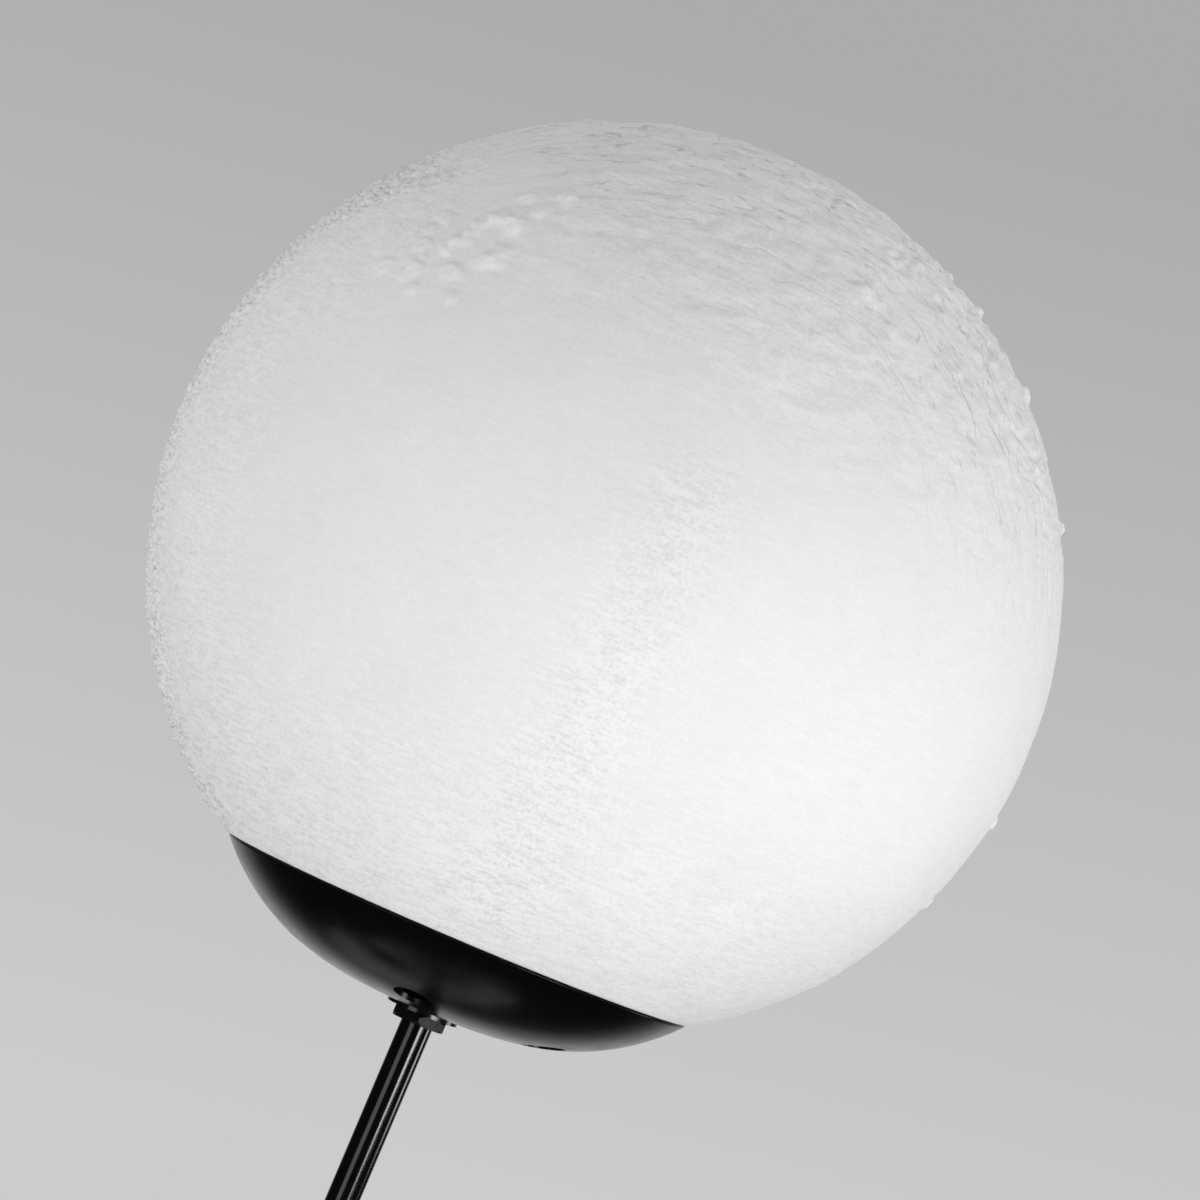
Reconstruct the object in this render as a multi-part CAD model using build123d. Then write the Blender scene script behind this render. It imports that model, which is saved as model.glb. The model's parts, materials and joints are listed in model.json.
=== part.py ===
from build123d import *
import os
from math import asin, atan2, cos, degrees, radians, sin, sqrt

# Astronaut table lamp. Millimetres and degrees.
# Origin at the middle of the base's underside, +Z up, the figure faces -Y and the stem leans to +X.

# General fits
FIT = 0.1
SEAT_GAP = 0.3
POCKET_GAP = 0.4

# Base
BASE_RADIUS = 100.0
BASE_HEIGHT = 24.0
BASE_EDGE_ROUND = 7.0
COVER_WALL = 1.5
COVER_LIFT = 1.5
PAD_INSET = 6.0
PAD_THICKNESS = 2.0
PLATE_THICKNESS = 1.5
PLATE_GAP = 0.5
PLATE_SCREW_CIRCLE = 46.0
PLATE_SCREW_RADIUS = 2.0
PLATE_SCREW_LENGTH = 10.0
PLATE_SCREW_HEAD_RADIUS = 3.6
PLATE_SCREW_COUNT = 4
PLATE_SCREW_TURN = 45.0
TERMINAL_CLEARANCE = 7.7
CHANNEL_GAP = 8.0
TERMINAL_ANGLE = 118.0
TERMINAL_SIZE = (24.0, 14.0, 10.0)
TERMINAL_HOLE_RADIUS = 1.6
TERMINAL_HOLE_SPACING = 11.0
GLAND_BORE_RADIUS = 3.3
GLAND_NECK_RADIUS = 4.8
GLAND_FLANGE_RADIUS = 6.0
GLAND_FLANGE = 2.4

# Stem and its socket
STEM_LEAN = 23.0
STEM_FOOT_TURN = 222.0
STEM_RADIUS = 4.0
STEM_WALL = 1.0
STEM_RUN = 356.0
STEM_RISE = 53.0
STEM_FOOT_GAP = 3.0
SOCKET_RADIUS = 8.5
SOCKET_LENGTH = 26.0
SOCKET_FLANGE_RADIUS = 15.0
SOCKET_FLANGE = 4.0
SOCKET_MARGIN = 0.5
SOCKET_ROUND = 1.2
SOCKET_WIRE_RADIUS = 3.2
SOCKET_SCREW_CIRCLE = 10.8
SOCKET_SCREW_RADIUS = 1.5
SOCKET_SCREW_HEAD_RADIUS = 2.8
SOCKET_SCREW_HEAD = 1.8
SOCKET_SCREW_BITE = 3.0
GRUB_RADIUS = 2.0
GRUB_HEIGHT = 18.0
LEAD_RADIUS = 1.7
LEAD_BEND = 9.0
LEAD_TAIL = 16.0
LEAD_STEPS = (0.3, 0.5, 0.75)

# Dish under the globe
DISH_RIM_RADIUS = 60.0
DISH_DEPTH = 21.0
DISH_WALL = 1.2
DISH_LAND_RADIUS = 11.0
DISH_FLOOR_CURVE = 80.0
DISH_FLOOR_REACH = 30.0
DISH_RIM_ROUND = 0.4
VENT_RADIUS = 5.0
VENT_CIRCLE = 33.0
VENT_COUNT = 5
VENT_TURN = -96.0

# Clamp hardware on the stem
WASHER_RADIUS = 9.0
WASHER_THICKNESS = 1.2
NUT_FLATS = 13.0
NUT_CHAMFER = 0.9
NUT_TURN = 30.0
DISH_NUT_THICKNESS = 2.8
LOCK_NUT_THICKNESS = 4.0

# Globe and its collar
GLOBE_RADIUS = 110.0
GLOBE_WALL = 2.4
GLOBE_MOUTH_RADIUS = 61.5
GLOBE_MOUTH_ROUND = 1.8
COLLAR_WIDTH = 7.0
COLLAR_FLANGE = 2.4
SPIGOT_WALL = 2.0
SPIGOT_DEPTH = 6.0
SPIGOT_CLEARANCE = 0.8
CLIP_COUNT = 3
CLIP_WIDTH = 9.0
CLIP_THICKNESS = 0.8
CLIP_FOOT = 9.0
CLIP_TURN = 39.0

# Lampholder and bulb
BRACKET_WIDTH = 12.0
BRACKET_THICKNESS = 1.2
BRACKET_EAR = 18.0
BRACKET_NUT_THICKNESS = 3.0
HOLDER_LENGTH = 21.0
HOLDER_WIDTH = 15.0
HOLDER_HEIGHT = 22.0
HOLDER_ROUND = 2.5
HOLDER_STANDOFF = 2.0
HOLDER_SCREW_RADIUS = 1.4
HOLDER_SCREW_HEAD_RADIUS = 2.7
HOLDER_SCREW_HEAD = 1.6
HOLDER_SCREW_BITE = 4.0
HOLDER_SCREW_DROP = 15.0
PIN_SPACING = 9.0
PIN_WIDTH = 3.0
PIN_THICKNESS = 0.9
PIN_LENGTH = 8.0
PIN_CLEARANCE = 0.4
CONTACT_LENGTH = 7.0
BULB_BASE_RADIUS = 8.0
BULB_BASE_HEIGHT = 14.0
BULB_RADIUS = 8.5
BULB_HEIGHT = 38.0

# Figure, legs
STANCE = 28.0
HIP_SPREAD = 22.0
LEG_DEPTH = 2.0
SOLE_LENGTH = 64.0
SOLE_WIDTH = 38.0
SOLE_HEIGHT = 6.0
SOLE_SHIFT = -9.0
TREAD_COUNT = 7
TREAD_WIDTH = 3.0
TREAD_DEPTH = 2.0
BOOT_INSET = 1.5
BOOT_HEIGHT = 30.0
BOOT_INSTEP = 14.0
INSTEP_LENGTH = 51.0
BOOT_TOP_RADIUS = 18.5
BOOT_CUFF_RADIUS = 20.5
BOOT_CUFF_HEIGHT = 6.0
BOOT_CUFF_ROUND = 1.8
LEG_HEIGHT = 66.0
ANKLE_RADIUS = 16.5
KNEE_RADIUS = 19.0
THIGH_RADIUS = 20.0
LEG_FOLDS = 6
LEG_FOLD_BULGE = 1.1
HIP_HEIGHT = 22.0
HIP_WIDTH = 84.0
HIP_DEPTH = 52.0
HIP_SWELL = 2.0
FIGURE_SCREW_RADIUS = 2.0
FIGURE_SCREW_HEAD_RADIUS = 4.0
FIGURE_SCREW_HEAD = 3.0
FIGURE_SCREW_BITE = 14.0

# Figure, body
BELT_HEIGHT = 6.0
BELT_PROUD = 1.2
BELT_ROUND = 1.4
WAIST_WIDTH = 68.0
WAIST_DEPTH = 48.0
CHEST_WIDTH = 75.0
CHEST_DEPTH = 54.0
CHEST_RISE = 23.0
TORSO_HEIGHT = 66.0
COLLAR_TOP_WIDTH = 54.0
COLLAR_TOP_DEPTH = 47.0
BACK_FLAT = 25.5
NECK_RADIUS = 25.0
NECK_HEIGHT = 7.0
NECK_ROUND = 1.6
HELMET_RADIUS = 37.0
HELMET_SEAT_RADIUS = 24.0
EAR_CAP_RADIUS = 9.0
EAR_CAP_PROUD = 3.0
EAR_CAP_ROUND = 1.2
VISOR_WIDTH = 56.0
VISOR_HEIGHT = 43.0
VISOR_CORNER = 19.0
VISOR_RISE = 2.0
VISOR_THICKNESS = 3.0
VISOR_SUNK = 0.6
FRAME_WIDTH = 3.2
FRAME_PROUD = 1.4
PACK_WIDTH = 64.0
PACK_DEPTH = 27.0
PACK_HEIGHT = 70.0
PACK_LIFT = 1.5
PACK_ROUND = 7.0
HATCH_WIDTH = 42.0
HATCH_HEIGHT = 44.0
HATCH_THICKNESS = 2.5
HATCH_ROUND = 6.0
HATCH_EDGE = 1.0
CHEST_PACK_WIDTH = 34.0
CHEST_PACK_HEIGHT = 30.0
CHEST_PACK_DEPTH = 9.0
CHEST_PACK_ROUND = 2.5
CHEST_PACK_LIFT = 12.0
CHEST_SEAT = 23.5
KNOB_RADIUS = 3.0
KNOB_PROUD = 2.4
KNOB_SPACING = 11.0
KNOB_COUNT = 3

# Figure, arms and hands
SHOULDER_SPREAD = 47.5
SHOULDER_DROP = 20.0
SHOULDER_RADIUS = 16.5
SHOULDER_SEAT = 35.0
UPPER_ARM_RADIUS = 14.8
ELBOW_RADIUS = 14.0
ARM_FOLDS = 3
ARM_FOLD_BULGE = 1.0
FOREARM_LENGTH = 68.0
LOW_GRIP_RUN = 122.0
HIGH_GRIP_RUN = 181.0
RIGHT_SWING = 150.0
LEFT_SWING = 28.0
WRIST_RADIUS = 12.0
CUFF_RADIUS = 13.4
CUFF_LENGTH = 6.0
CUFF_ROUND = 1.5
GLOVE_REACH = 24.0
PALM_WIDTH = 21.0
PALM_ROUND = 7.0
FINGER_RADIUS = 4.3
FINGER_PITCH = 8.8
FINGER_COUNT = 4
FINGER_START = 20.0
FINGER_WRAP = 205.0
THUMB_RADIUS = 4.8
THUMB_WRAP = 85.0
GRIP_BITE = 0.7
WRIST_STEP = 4.0

# Heights and places worked out from the sizes above
LEAN = radians(STEM_LEAN)
PLATE_TOP = PAD_THICKNESS + PLATE_THICKNESS
COVER_INSIDE = BASE_HEIGHT - COVER_WALL
PAD_RADIUS = BASE_RADIUS - PAD_INSET
TERMINAL_LENGTH, TERMINAL_WIDTH, TERMINAL_HEIGHT = TERMINAL_SIZE
CHANNEL_EDGE = BASE_RADIUS - COVER_WALL - TERMINAL_CLEARANCE
WIRE_CHANNEL_RADIUS = sqrt(CHANNEL_EDGE**2 - (TERMINAL_LENGTH / 2) ** 2) - TERMINAL_WIDTH / 2
WEIGHT_RADIUS = WIRE_CHANNEL_RADIUS - TERMINAL_WIDTH / 2 - CHANNEL_GAP
STEM_FOOT_REACH = BASE_RADIUS - BASE_EDGE_ROUND - SOCKET_FLANGE_RADIUS - SOCKET_MARGIN
STEM_FOOT_X = STEM_FOOT_REACH * cos(radians(STEM_FOOT_TURN))
STEM_FOOT_Y = STEM_FOOT_REACH * sin(radians(STEM_FOOT_TURN))
GLAND_HEIGHT = PLATE_TOP + GLAND_FLANGE_RADIUS + 2 * POCKET_GAP
SOLE_TOP = BASE_HEIGHT + SOLE_HEIGHT
BOOT_TOP = SOLE_TOP + BOOT_HEIGHT
LEG_TOP = BOOT_TOP + LEG_HEIGHT
WAIST = LEG_TOP + HIP_HEIGHT
BELT_TOP = WAIST + BELT_HEIGHT
TORSO_TOP = BELT_TOP + TORSO_HEIGHT
NECK_TOP = TORSO_TOP + NECK_HEIGHT
HELMET_CENTRE = NECK_TOP + sqrt(HELMET_RADIUS**2 - HELMET_SEAT_RADIUS**2)
SHOULDER_HEIGHT = TORSO_TOP - SHOULDER_DROP
STEM_BORE = STEM_RADIUS - STEM_WALL
STEM = Location((STEM_FOOT_X, STEM_FOOT_Y, BASE_HEIGHT), (0, STEM_LEAN, 0))
HEAD = STEM * Pos(0, 0, STEM_RUN)
MOUTH = DISH_DEPTH + SEAT_GAP
GLOBE_CENTRE = MOUTH + sqrt(GLOBE_RADIUS**2 - GLOBE_MOUTH_RADIUS**2)
BRACKET_SEAT = STEM_RISE - 2 * BRACKET_NUT_THICKNESS - BRACKET_THICKNESS
HOLDER_BOTTOM = STEM_RISE + HOLDER_STANDOFF
HOLDER_TOP = HOLDER_BOTTOM + HOLDER_HEIGHT
BULB_SEAT = HOLDER_TOP + SEAT_GAP
WRIST_REACH = GLOVE_REACH + CUFF_LENGTH
FAR = 2 * (BASE_RADIUS + GLOBE_RADIUS)

UPWARD = (Align.CENTER, Align.CENTER, Align.MIN)
HALF_TURN = 180


def disc(radius, bottom, top):
    """Return an upright cylinder about Z between two heights."""
    return Pos(0, 0, bottom) * Cylinder(radius, top - bottom, align=UPWARD)


def ring(outer, inner, bottom, top):
    """Return an upright tube about Z between two heights."""
    return disc(outer, bottom, top) - disc(inner, bottom, top)


def block(length, width, bottom, top):
    """Return an upright box about Z between two heights."""
    return Pos(0, 0, bottom) * Box(length, width, top - bottom, align=UPWARD)


def domed_disc(radius, bottom, top, rounding):
    """Return an upright cylinder whose upper edge is rounded."""
    body = disc(radius, bottom, top)
    return fillet(body.edges().group_by(Axis.Z)[-1], rounding)


def soft_disc(radius, bottom, top, rounding):
    """Return an upright cylinder with both edges rounded."""
    return fillet(disc(radius, bottom, top).edges().filter_by(GeomType.CIRCLE), rounding)


def stadium(width, depth, bottom, top):
    """Return an upright elliptical slab."""
    return Pos(0, 0, bottom) * extrude(Ellipse(width / 2, depth / 2), top - bottom)


def hex_nut(bottom, thickness):
    """Return a hexagon nut on the stem, with a flat to each side and chamfered corners."""
    corner = NUT_FLATS / sqrt(3)
    prism = extrude(RegularPolygon(NUT_FLATS / 2, 6, major_radius=False, rotation=NUT_TURN), thickness)
    turned = chamfer(disc(corner, 0, thickness).edges().filter_by(GeomType.CIRCLE), NUT_CHAMFER)
    return Pos(0, 0, bottom) * (prism & turned) - disc(STEM_RADIUS + FIT, bottom, bottom + thickness)


def screw(head_radius, head, radius, length):
    """Return a screw that points up, with its head's top face at Z = 0 and its head below."""
    return disc(head_radius, -head, 0) + disc(radius, 0, length)


def sleeve(length, radii, bulge):
    """Return a folded sleeve along Z, with one outward arc between each two radii."""
    step = length / (len(radii) - 1)
    outline = [Line((0, 0), (radii[0], 0))]
    for index in range(len(radii) - 1):
        low = (radii[index], index * step)
        high = (radii[index + 1], (index + 1) * step)
        middle = ((low[0] + high[0]) / 2 + bulge, (low[1] + high[1]) / 2)
        outline.append(ThreePointArc(low, middle, high))
    outline.append(Line((radii[-1], length), (0, length)))
    outline.append(Line((0, length), (0, 0)))
    return revolve(Plane.XZ * make_face(outline), axis=Axis.Z)


def spread(first, last, count):
    """Return evenly spaced values from first to last."""
    return [first + (last - first) * index / count for index in range(count + 1)]


def along(start, end):
    """Return the place at start whose Z axis points to end."""
    return Plane(origin=start, z_dir=Vector(*end) - Vector(*start)).location


def stem_point(run, across=0.0, behind=0.0):
    """Return a point by its distance up the stem and its offsets square to it."""
    spot = (STEM * Pos(across, behind, run)).position
    return (spot.X, spot.Y, spot.Z)


# Dish profile: a flat land, a shallow floor arc and a steeper side arc tangent to it
FLOOR_TURN = asin((DISH_FLOOR_REACH - DISH_LAND_RADIUS) / DISH_FLOOR_CURVE)
FLOOR_RISE = DISH_FLOOR_CURVE * (1 - cos(FLOOR_TURN))
SIDE_RUN = DISH_RIM_RADIUS - DISH_FLOOR_REACH
SIDE_LIFT = DISH_DEPTH - FLOOR_RISE
SIDE_CURVE = (SIDE_RUN**2 + SIDE_LIFT**2) / (2 * (SIDE_LIFT * cos(FLOOR_TURN) - SIDE_RUN * sin(FLOOR_TURN)))
SIDE_AXIS_R = DISH_FLOOR_REACH - SIDE_CURVE * sin(FLOOR_TURN)
SIDE_AXIS_Z = FLOOR_RISE + SIDE_CURVE * cos(FLOOR_TURN)


def dish_radius(height, inset):
    """Return the radius of the dish's side at a height, inset square to its outer face."""
    return SIDE_AXIS_R + sqrt((SIDE_CURVE - inset) ** 2 - (SIDE_AXIS_Z - height) ** 2)


def bowl(inset):
    """Return the solid inside the dish's outer face, inset square to it."""
    curve = SIDE_CURVE - inset
    floor = DISH_FLOOR_CURVE - inset
    half = FLOOR_TURN / 2
    rim = dish_radius(DISH_DEPTH, inset)
    rim_turn = atan2(rim - SIDE_AXIS_R, SIDE_AXIS_Z - DISH_DEPTH)
    side_half = (FLOOR_TURN + rim_turn) / 2
    land = (DISH_LAND_RADIUS, inset)
    floor_mid = (DISH_LAND_RADIUS + floor * sin(half), DISH_FLOOR_CURVE - floor * cos(half))
    knee = (DISH_LAND_RADIUS + floor * sin(FLOOR_TURN), DISH_FLOOR_CURVE - floor * cos(FLOOR_TURN))
    side_mid = (SIDE_AXIS_R + curve * sin(side_half), SIDE_AXIS_Z - curve * cos(side_half))
    outline = [
        Line((0, inset), land),
        ThreePointArc(land, floor_mid, knee),
        ThreePointArc(knee, side_mid, (rim, DISH_DEPTH)),
        Line((rim, DISH_DEPTH), (0, DISH_DEPTH)),
        Line((0, DISH_DEPTH), (0, inset)),
    ]
    return revolve(Plane.XZ * make_face(outline), axis=Axis.Z)


def make_base():
    """Return the pieces of the base."""
    socket_place = Pos(STEM_FOOT_X, STEM_FOOT_Y)
    across = socket_place * Rot(0, 0, STEM_FOOT_TURN)
    socket_screw_spots = [across * Pos(0, side * SOCKET_SCREW_CIRCLE) for side in (-1, 1)]
    figure_spots = [Pos(side * STANCE, LEG_DEPTH) for side in (-1, 1)]
    plate_spots = PolarLocations(PLATE_SCREW_CIRCLE, PLATE_SCREW_COUNT, PLATE_SCREW_TURN)

    cover = domed_disc(BASE_RADIUS, COVER_LIFT, BASE_HEIGHT, BASE_EDGE_ROUND)
    cover -= domed_disc(BASE_RADIUS - COVER_WALL, COVER_LIFT, COVER_INSIDE, BASE_EDGE_ROUND - COVER_WALL)
    cover -= STEM * Pos(0, 0, -SOCKET_FLANGE) * disc(SOCKET_WIRE_RADIUS, -SOCKET_FLANGE, 2 * SOCKET_FLANGE)
    for spot in socket_screw_spots:
        cover -= spot * disc(SOCKET_SCREW_RADIUS + FIT, COVER_INSIDE, BASE_HEIGHT)
    for spot in figure_spots:
        cover -= spot * disc(FIGURE_SCREW_RADIUS + FIT, COVER_INSIDE, BASE_HEIGHT)
    gland_axis = Pos(0, BASE_RADIUS, GLAND_HEIGHT) * Rot(-90, 0, 0)
    cover -= gland_axis * disc(GLAND_NECK_RADIUS + FIT, -GLAND_FLANGE_RADIUS, GLAND_FLANGE)

    inside = -COVER_WALL - GLAND_FLANGE
    gland = gland_axis * ring(GLAND_FLANGE_RADIUS, GLAND_BORE_RADIUS, inside, GLAND_FLANGE)
    wall_band = ring(BASE_RADIUS + FIT, BASE_RADIUS - COVER_WALL - FIT, 0, BASE_HEIGHT)
    gland -= wall_band - gland_axis * disc(GLAND_NECK_RADIUS, -GLAND_FLANGE_RADIUS, GLAND_FLANGE)

    weight = disc(WEIGHT_RADIUS, PLATE_TOP, COVER_INSIDE)
    for spot in plate_spots:
        weight -= spot * disc(PLATE_SCREW_RADIUS + FIT, PLATE_TOP, PAD_THICKNESS + PLATE_SCREW_LENGTH)
    head_top = PLATE_TOP + FIGURE_SCREW_HEAD + 2 * POCKET_GAP
    for spot in figure_spots:
        weight -= spot * disc(FIGURE_SCREW_RADIUS + FIT, PLATE_TOP, COVER_INSIDE)
        weight -= spot * disc(FIGURE_SCREW_HEAD_RADIUS + POCKET_GAP, PLATE_TOP, head_top)

    plate = disc(BASE_RADIUS - COVER_WALL - PLATE_GAP, PAD_THICKNESS, PLATE_TOP)
    screws = []
    for spot in plate_spots:
        plate -= spot * disc(PLATE_SCREW_HEAD_RADIUS + FIT, PAD_THICKNESS, PLATE_TOP)
        head = disc(PLATE_SCREW_HEAD_RADIUS, PAD_THICKNESS, PLATE_TOP)
        screws.append(spot * (head + disc(PLATE_SCREW_RADIUS, PLATE_TOP, PAD_THICKNESS + PLATE_SCREW_LENGTH)))

    terminal = block(TERMINAL_LENGTH, TERMINAL_WIDTH, 0, TERMINAL_HEIGHT)
    terminal = fillet(terminal.edges().filter_by(Axis.Z), TERMINAL_HOLE_RADIUS)
    for side in (-1, 1):
        shift = side * TERMINAL_HOLE_SPACING / 2
        terminal -= Pos(shift, 0) * disc(TERMINAL_HOLE_RADIUS, TERMINAL_HEIGHT / 2, TERMINAL_HEIGHT)
    terminal = Rot(0, 0, TERMINAL_ANGLE) * Pos(WIRE_CHANNEL_RADIUS, 0, PLATE_TOP) * Rot(0, 0, 90) * terminal

    socket = soft_disc(SOCKET_FLANGE_RADIUS, 0, SOCKET_FLANGE, SOCKET_ROUND)
    socket = socket_place * Pos(0, 0, BASE_HEIGHT) * (socket & disc(FAR, 0, FAR))
    tilted = STEM * domed_disc(SOCKET_RADIUS, -SOCKET_LENGTH / 2, SOCKET_LENGTH, SOCKET_ROUND)
    socket += tilted & (Pos(0, 0, BASE_HEIGHT) * disc(FAR, 0, FAR))
    socket -= STEM * disc(STEM_RADIUS + FIT, STEM_FOOT_GAP, SOCKET_LENGTH)
    socket -= STEM * disc(SOCKET_WIRE_RADIUS, -SOCKET_LENGTH, SOCKET_LENGTH)
    grub_axis = STEM * Pos(0, 0, GRUB_HEIGHT) * Rot(-90, 0, 0)
    socket -= grub_axis * disc(GRUB_RADIUS + FIT, 0, SOCKET_RADIUS)
    grub = grub_axis * disc(GRUB_RADIUS, STEM_RADIUS + FIT, SOCKET_RADIUS - SEAT_GAP)

    socket_screws = []
    for spot in socket_screw_spots:
        bite = COVER_WALL + SOCKET_SCREW_BITE
        socket -= spot * disc(SOCKET_SCREW_RADIUS + FIT, BASE_HEIGHT, BASE_HEIGHT + SOCKET_SCREW_BITE)
        one = screw(SOCKET_SCREW_HEAD_RADIUS, SOCKET_SCREW_HEAD, SOCKET_SCREW_RADIUS, bite)
        socket_screws.append(spot * Pos(0, 0, COVER_INSIDE) * one)

    figure_screws = []
    for spot in figure_spots:
        reach = SOLE_TOP + FIGURE_SCREW_BITE - head_top
        one = screw(FIGURE_SCREW_HEAD_RADIUS, FIGURE_SCREW_HEAD, FIGURE_SCREW_RADIUS, reach)
        figure_screws.append(spot * Pos(0, 0, head_top) * one)

    return {
        "base_cover": cover,
        "base_weight": weight,
        "bottom_plate": plate,
        "plate_screws": screws,
        "foot_pad": disc(PAD_RADIUS, 0, PAD_THICKNESS),
        "cord_gland": gland,
        "terminal_block": terminal,
        "stem_socket": socket,
        "stem_grub_screw": grub,
        "socket_screws": socket_screws,
        "figure_screws": figure_screws,
    }


def make_lead():
    """Return the lead from the terminal block, round the wire channel and up the stem."""
    level = PLATE_TOP + LEAD_RADIUS + FIT
    landing = (level - BASE_HEIGHT) / cos(LEAN)
    foot = stem_point(landing)
    foot_angle = degrees(atan2(foot[1], foot[0])) % 360
    turn = radians(TERMINAL_ANGLE)
    block_end = TERMINAL_LENGTH / 2 + SEAT_GAP
    tail = [
        (
            WIRE_CHANNEL_RADIUS * cos(turn) - reach * sin(turn),
            WIRE_CHANNEL_RADIUS * sin(turn) + reach * cos(turn),
            level,
        )
        for reach in (block_end + LEAD_TAIL, block_end)
    ]
    tail_angle = degrees(atan2(tail[0][1], tail[0][0]))
    points = [stem_point(STEM_RUN + HOLDER_BOTTOM - SEAT_GAP), foot]
    for share in LEAD_STEPS:
        angle = radians(foot_angle + (tail_angle - foot_angle) * share)
        points.append((WIRE_CHANNEL_RADIUS * cos(angle), WIRE_CHANNEL_RADIUS * sin(angle), level))
    points += tail
    path = FilletPolyline(*points, radius=LEAD_BEND)
    section = Plane(origin=path @ 0, z_dir=path % 0) * Circle(LEAD_RADIUS)
    return sweep(section, path=path)


def make_stem():
    """Return the stem, its lead and the clamp hardware that holds the dish."""
    tube = ring(STEM_RADIUS, STEM_BORE, STEM_FOOT_GAP - STEM_RUN, STEM_RISE)
    washer = ring(WASHER_RADIUS, STEM_RADIUS + FIT, -WASHER_THICKNESS, 0)
    lock_washer = ring(WASHER_RADIUS, STEM_RADIUS + FIT, DISH_WALL, DISH_WALL + WASHER_THICKNESS)
    return {
        "stem_tube": HEAD * tube,
        "inner_lead": make_lead(),
        "dish_washer": HEAD * washer,
        "dish_nut": HEAD * hex_nut(-WASHER_THICKNESS - DISH_NUT_THICKNESS, DISH_NUT_THICKNESS),
        "lock_washer": HEAD * lock_washer,
        "lock_nut": HEAD * hex_nut(DISH_WALL + WASHER_THICKNESS, LOCK_NUT_THICKNESS),
    }


def make_head():
    """Return the dish, the globe with its collar, and the clips."""
    dish = bowl(0) - bowl(DISH_WALL)
    dish = fillet(dish.edges().group_by(Axis.Z)[-1], DISH_RIM_ROUND)
    dish -= disc(STEM_RADIUS + FIT, -DISH_WALL, 2 * DISH_WALL)
    for spot in PolarLocations(VENT_CIRCLE, VENT_COUNT, VENT_TURN):
        dish -= spot * disc(VENT_RADIUS, -DISH_WALL, DISH_DEPTH)

    globe = Pos(0, 0, GLOBE_CENTRE) * Sphere(GLOBE_RADIUS)
    globe -= disc(FAR, MOUTH - FAR, MOUTH)
    globe = fillet(globe.edges().filter_by(GeomType.CIRCLE), GLOBE_MOUTH_ROUND)
    globe -= Pos(0, 0, GLOBE_CENTRE) * Sphere(GLOBE_RADIUS - GLOBE_WALL)

    inner = GLOBE_RADIUS - GLOBE_WALL
    mouth_inner = sqrt(inner**2 - (GLOBE_CENTRE - MOUTH) ** 2)
    spigot_bottom = DISH_DEPTH - SPIGOT_DEPTH
    spigot_outer = dish_radius(spigot_bottom, DISH_WALL) - SPIGOT_CLEARANCE
    spigot_inner = spigot_outer - SPIGOT_WALL
    collar = ring(mouth_inner + COLLAR_WIDTH, spigot_inner, MOUTH, MOUTH + COLLAR_FLANGE)
    collar &= Pos(0, 0, GLOBE_CENTRE) * Sphere(inner - FIT)
    collar += ring(spigot_outer, spigot_inner, spigot_bottom, MOUTH)

    leaf_outer = spigot_inner - SEAT_GAP
    leaf_inner = leaf_outer - CLIP_THICKNESS
    layer = bowl(DISH_WALL) - bowl(DISH_WALL + CLIP_THICKNESS)
    foot = Pos(leaf_outer - CLIP_FOOT / 2, 0) * block(CLIP_FOOT, CLIP_WIDTH, 0, DISH_DEPTH)
    leaf = Pos((leaf_outer + leaf_inner) / 2, 0) * block(CLIP_THICKNESS, CLIP_WIDTH, 0, MOUTH)
    clip = (layer & foot) + (bowl(DISH_WALL) & leaf)
    clips = [Rot(0, 0, CLIP_TURN + 360 / CLIP_COUNT * index) * clip for index in range(CLIP_COUNT)]

    return {
        "support_dish": HEAD * dish,
        "moon_globe": HEAD * globe,
        "globe_collar": HEAD * collar,
        "globe_clips": [HEAD * one for one in clips],
    }


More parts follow.
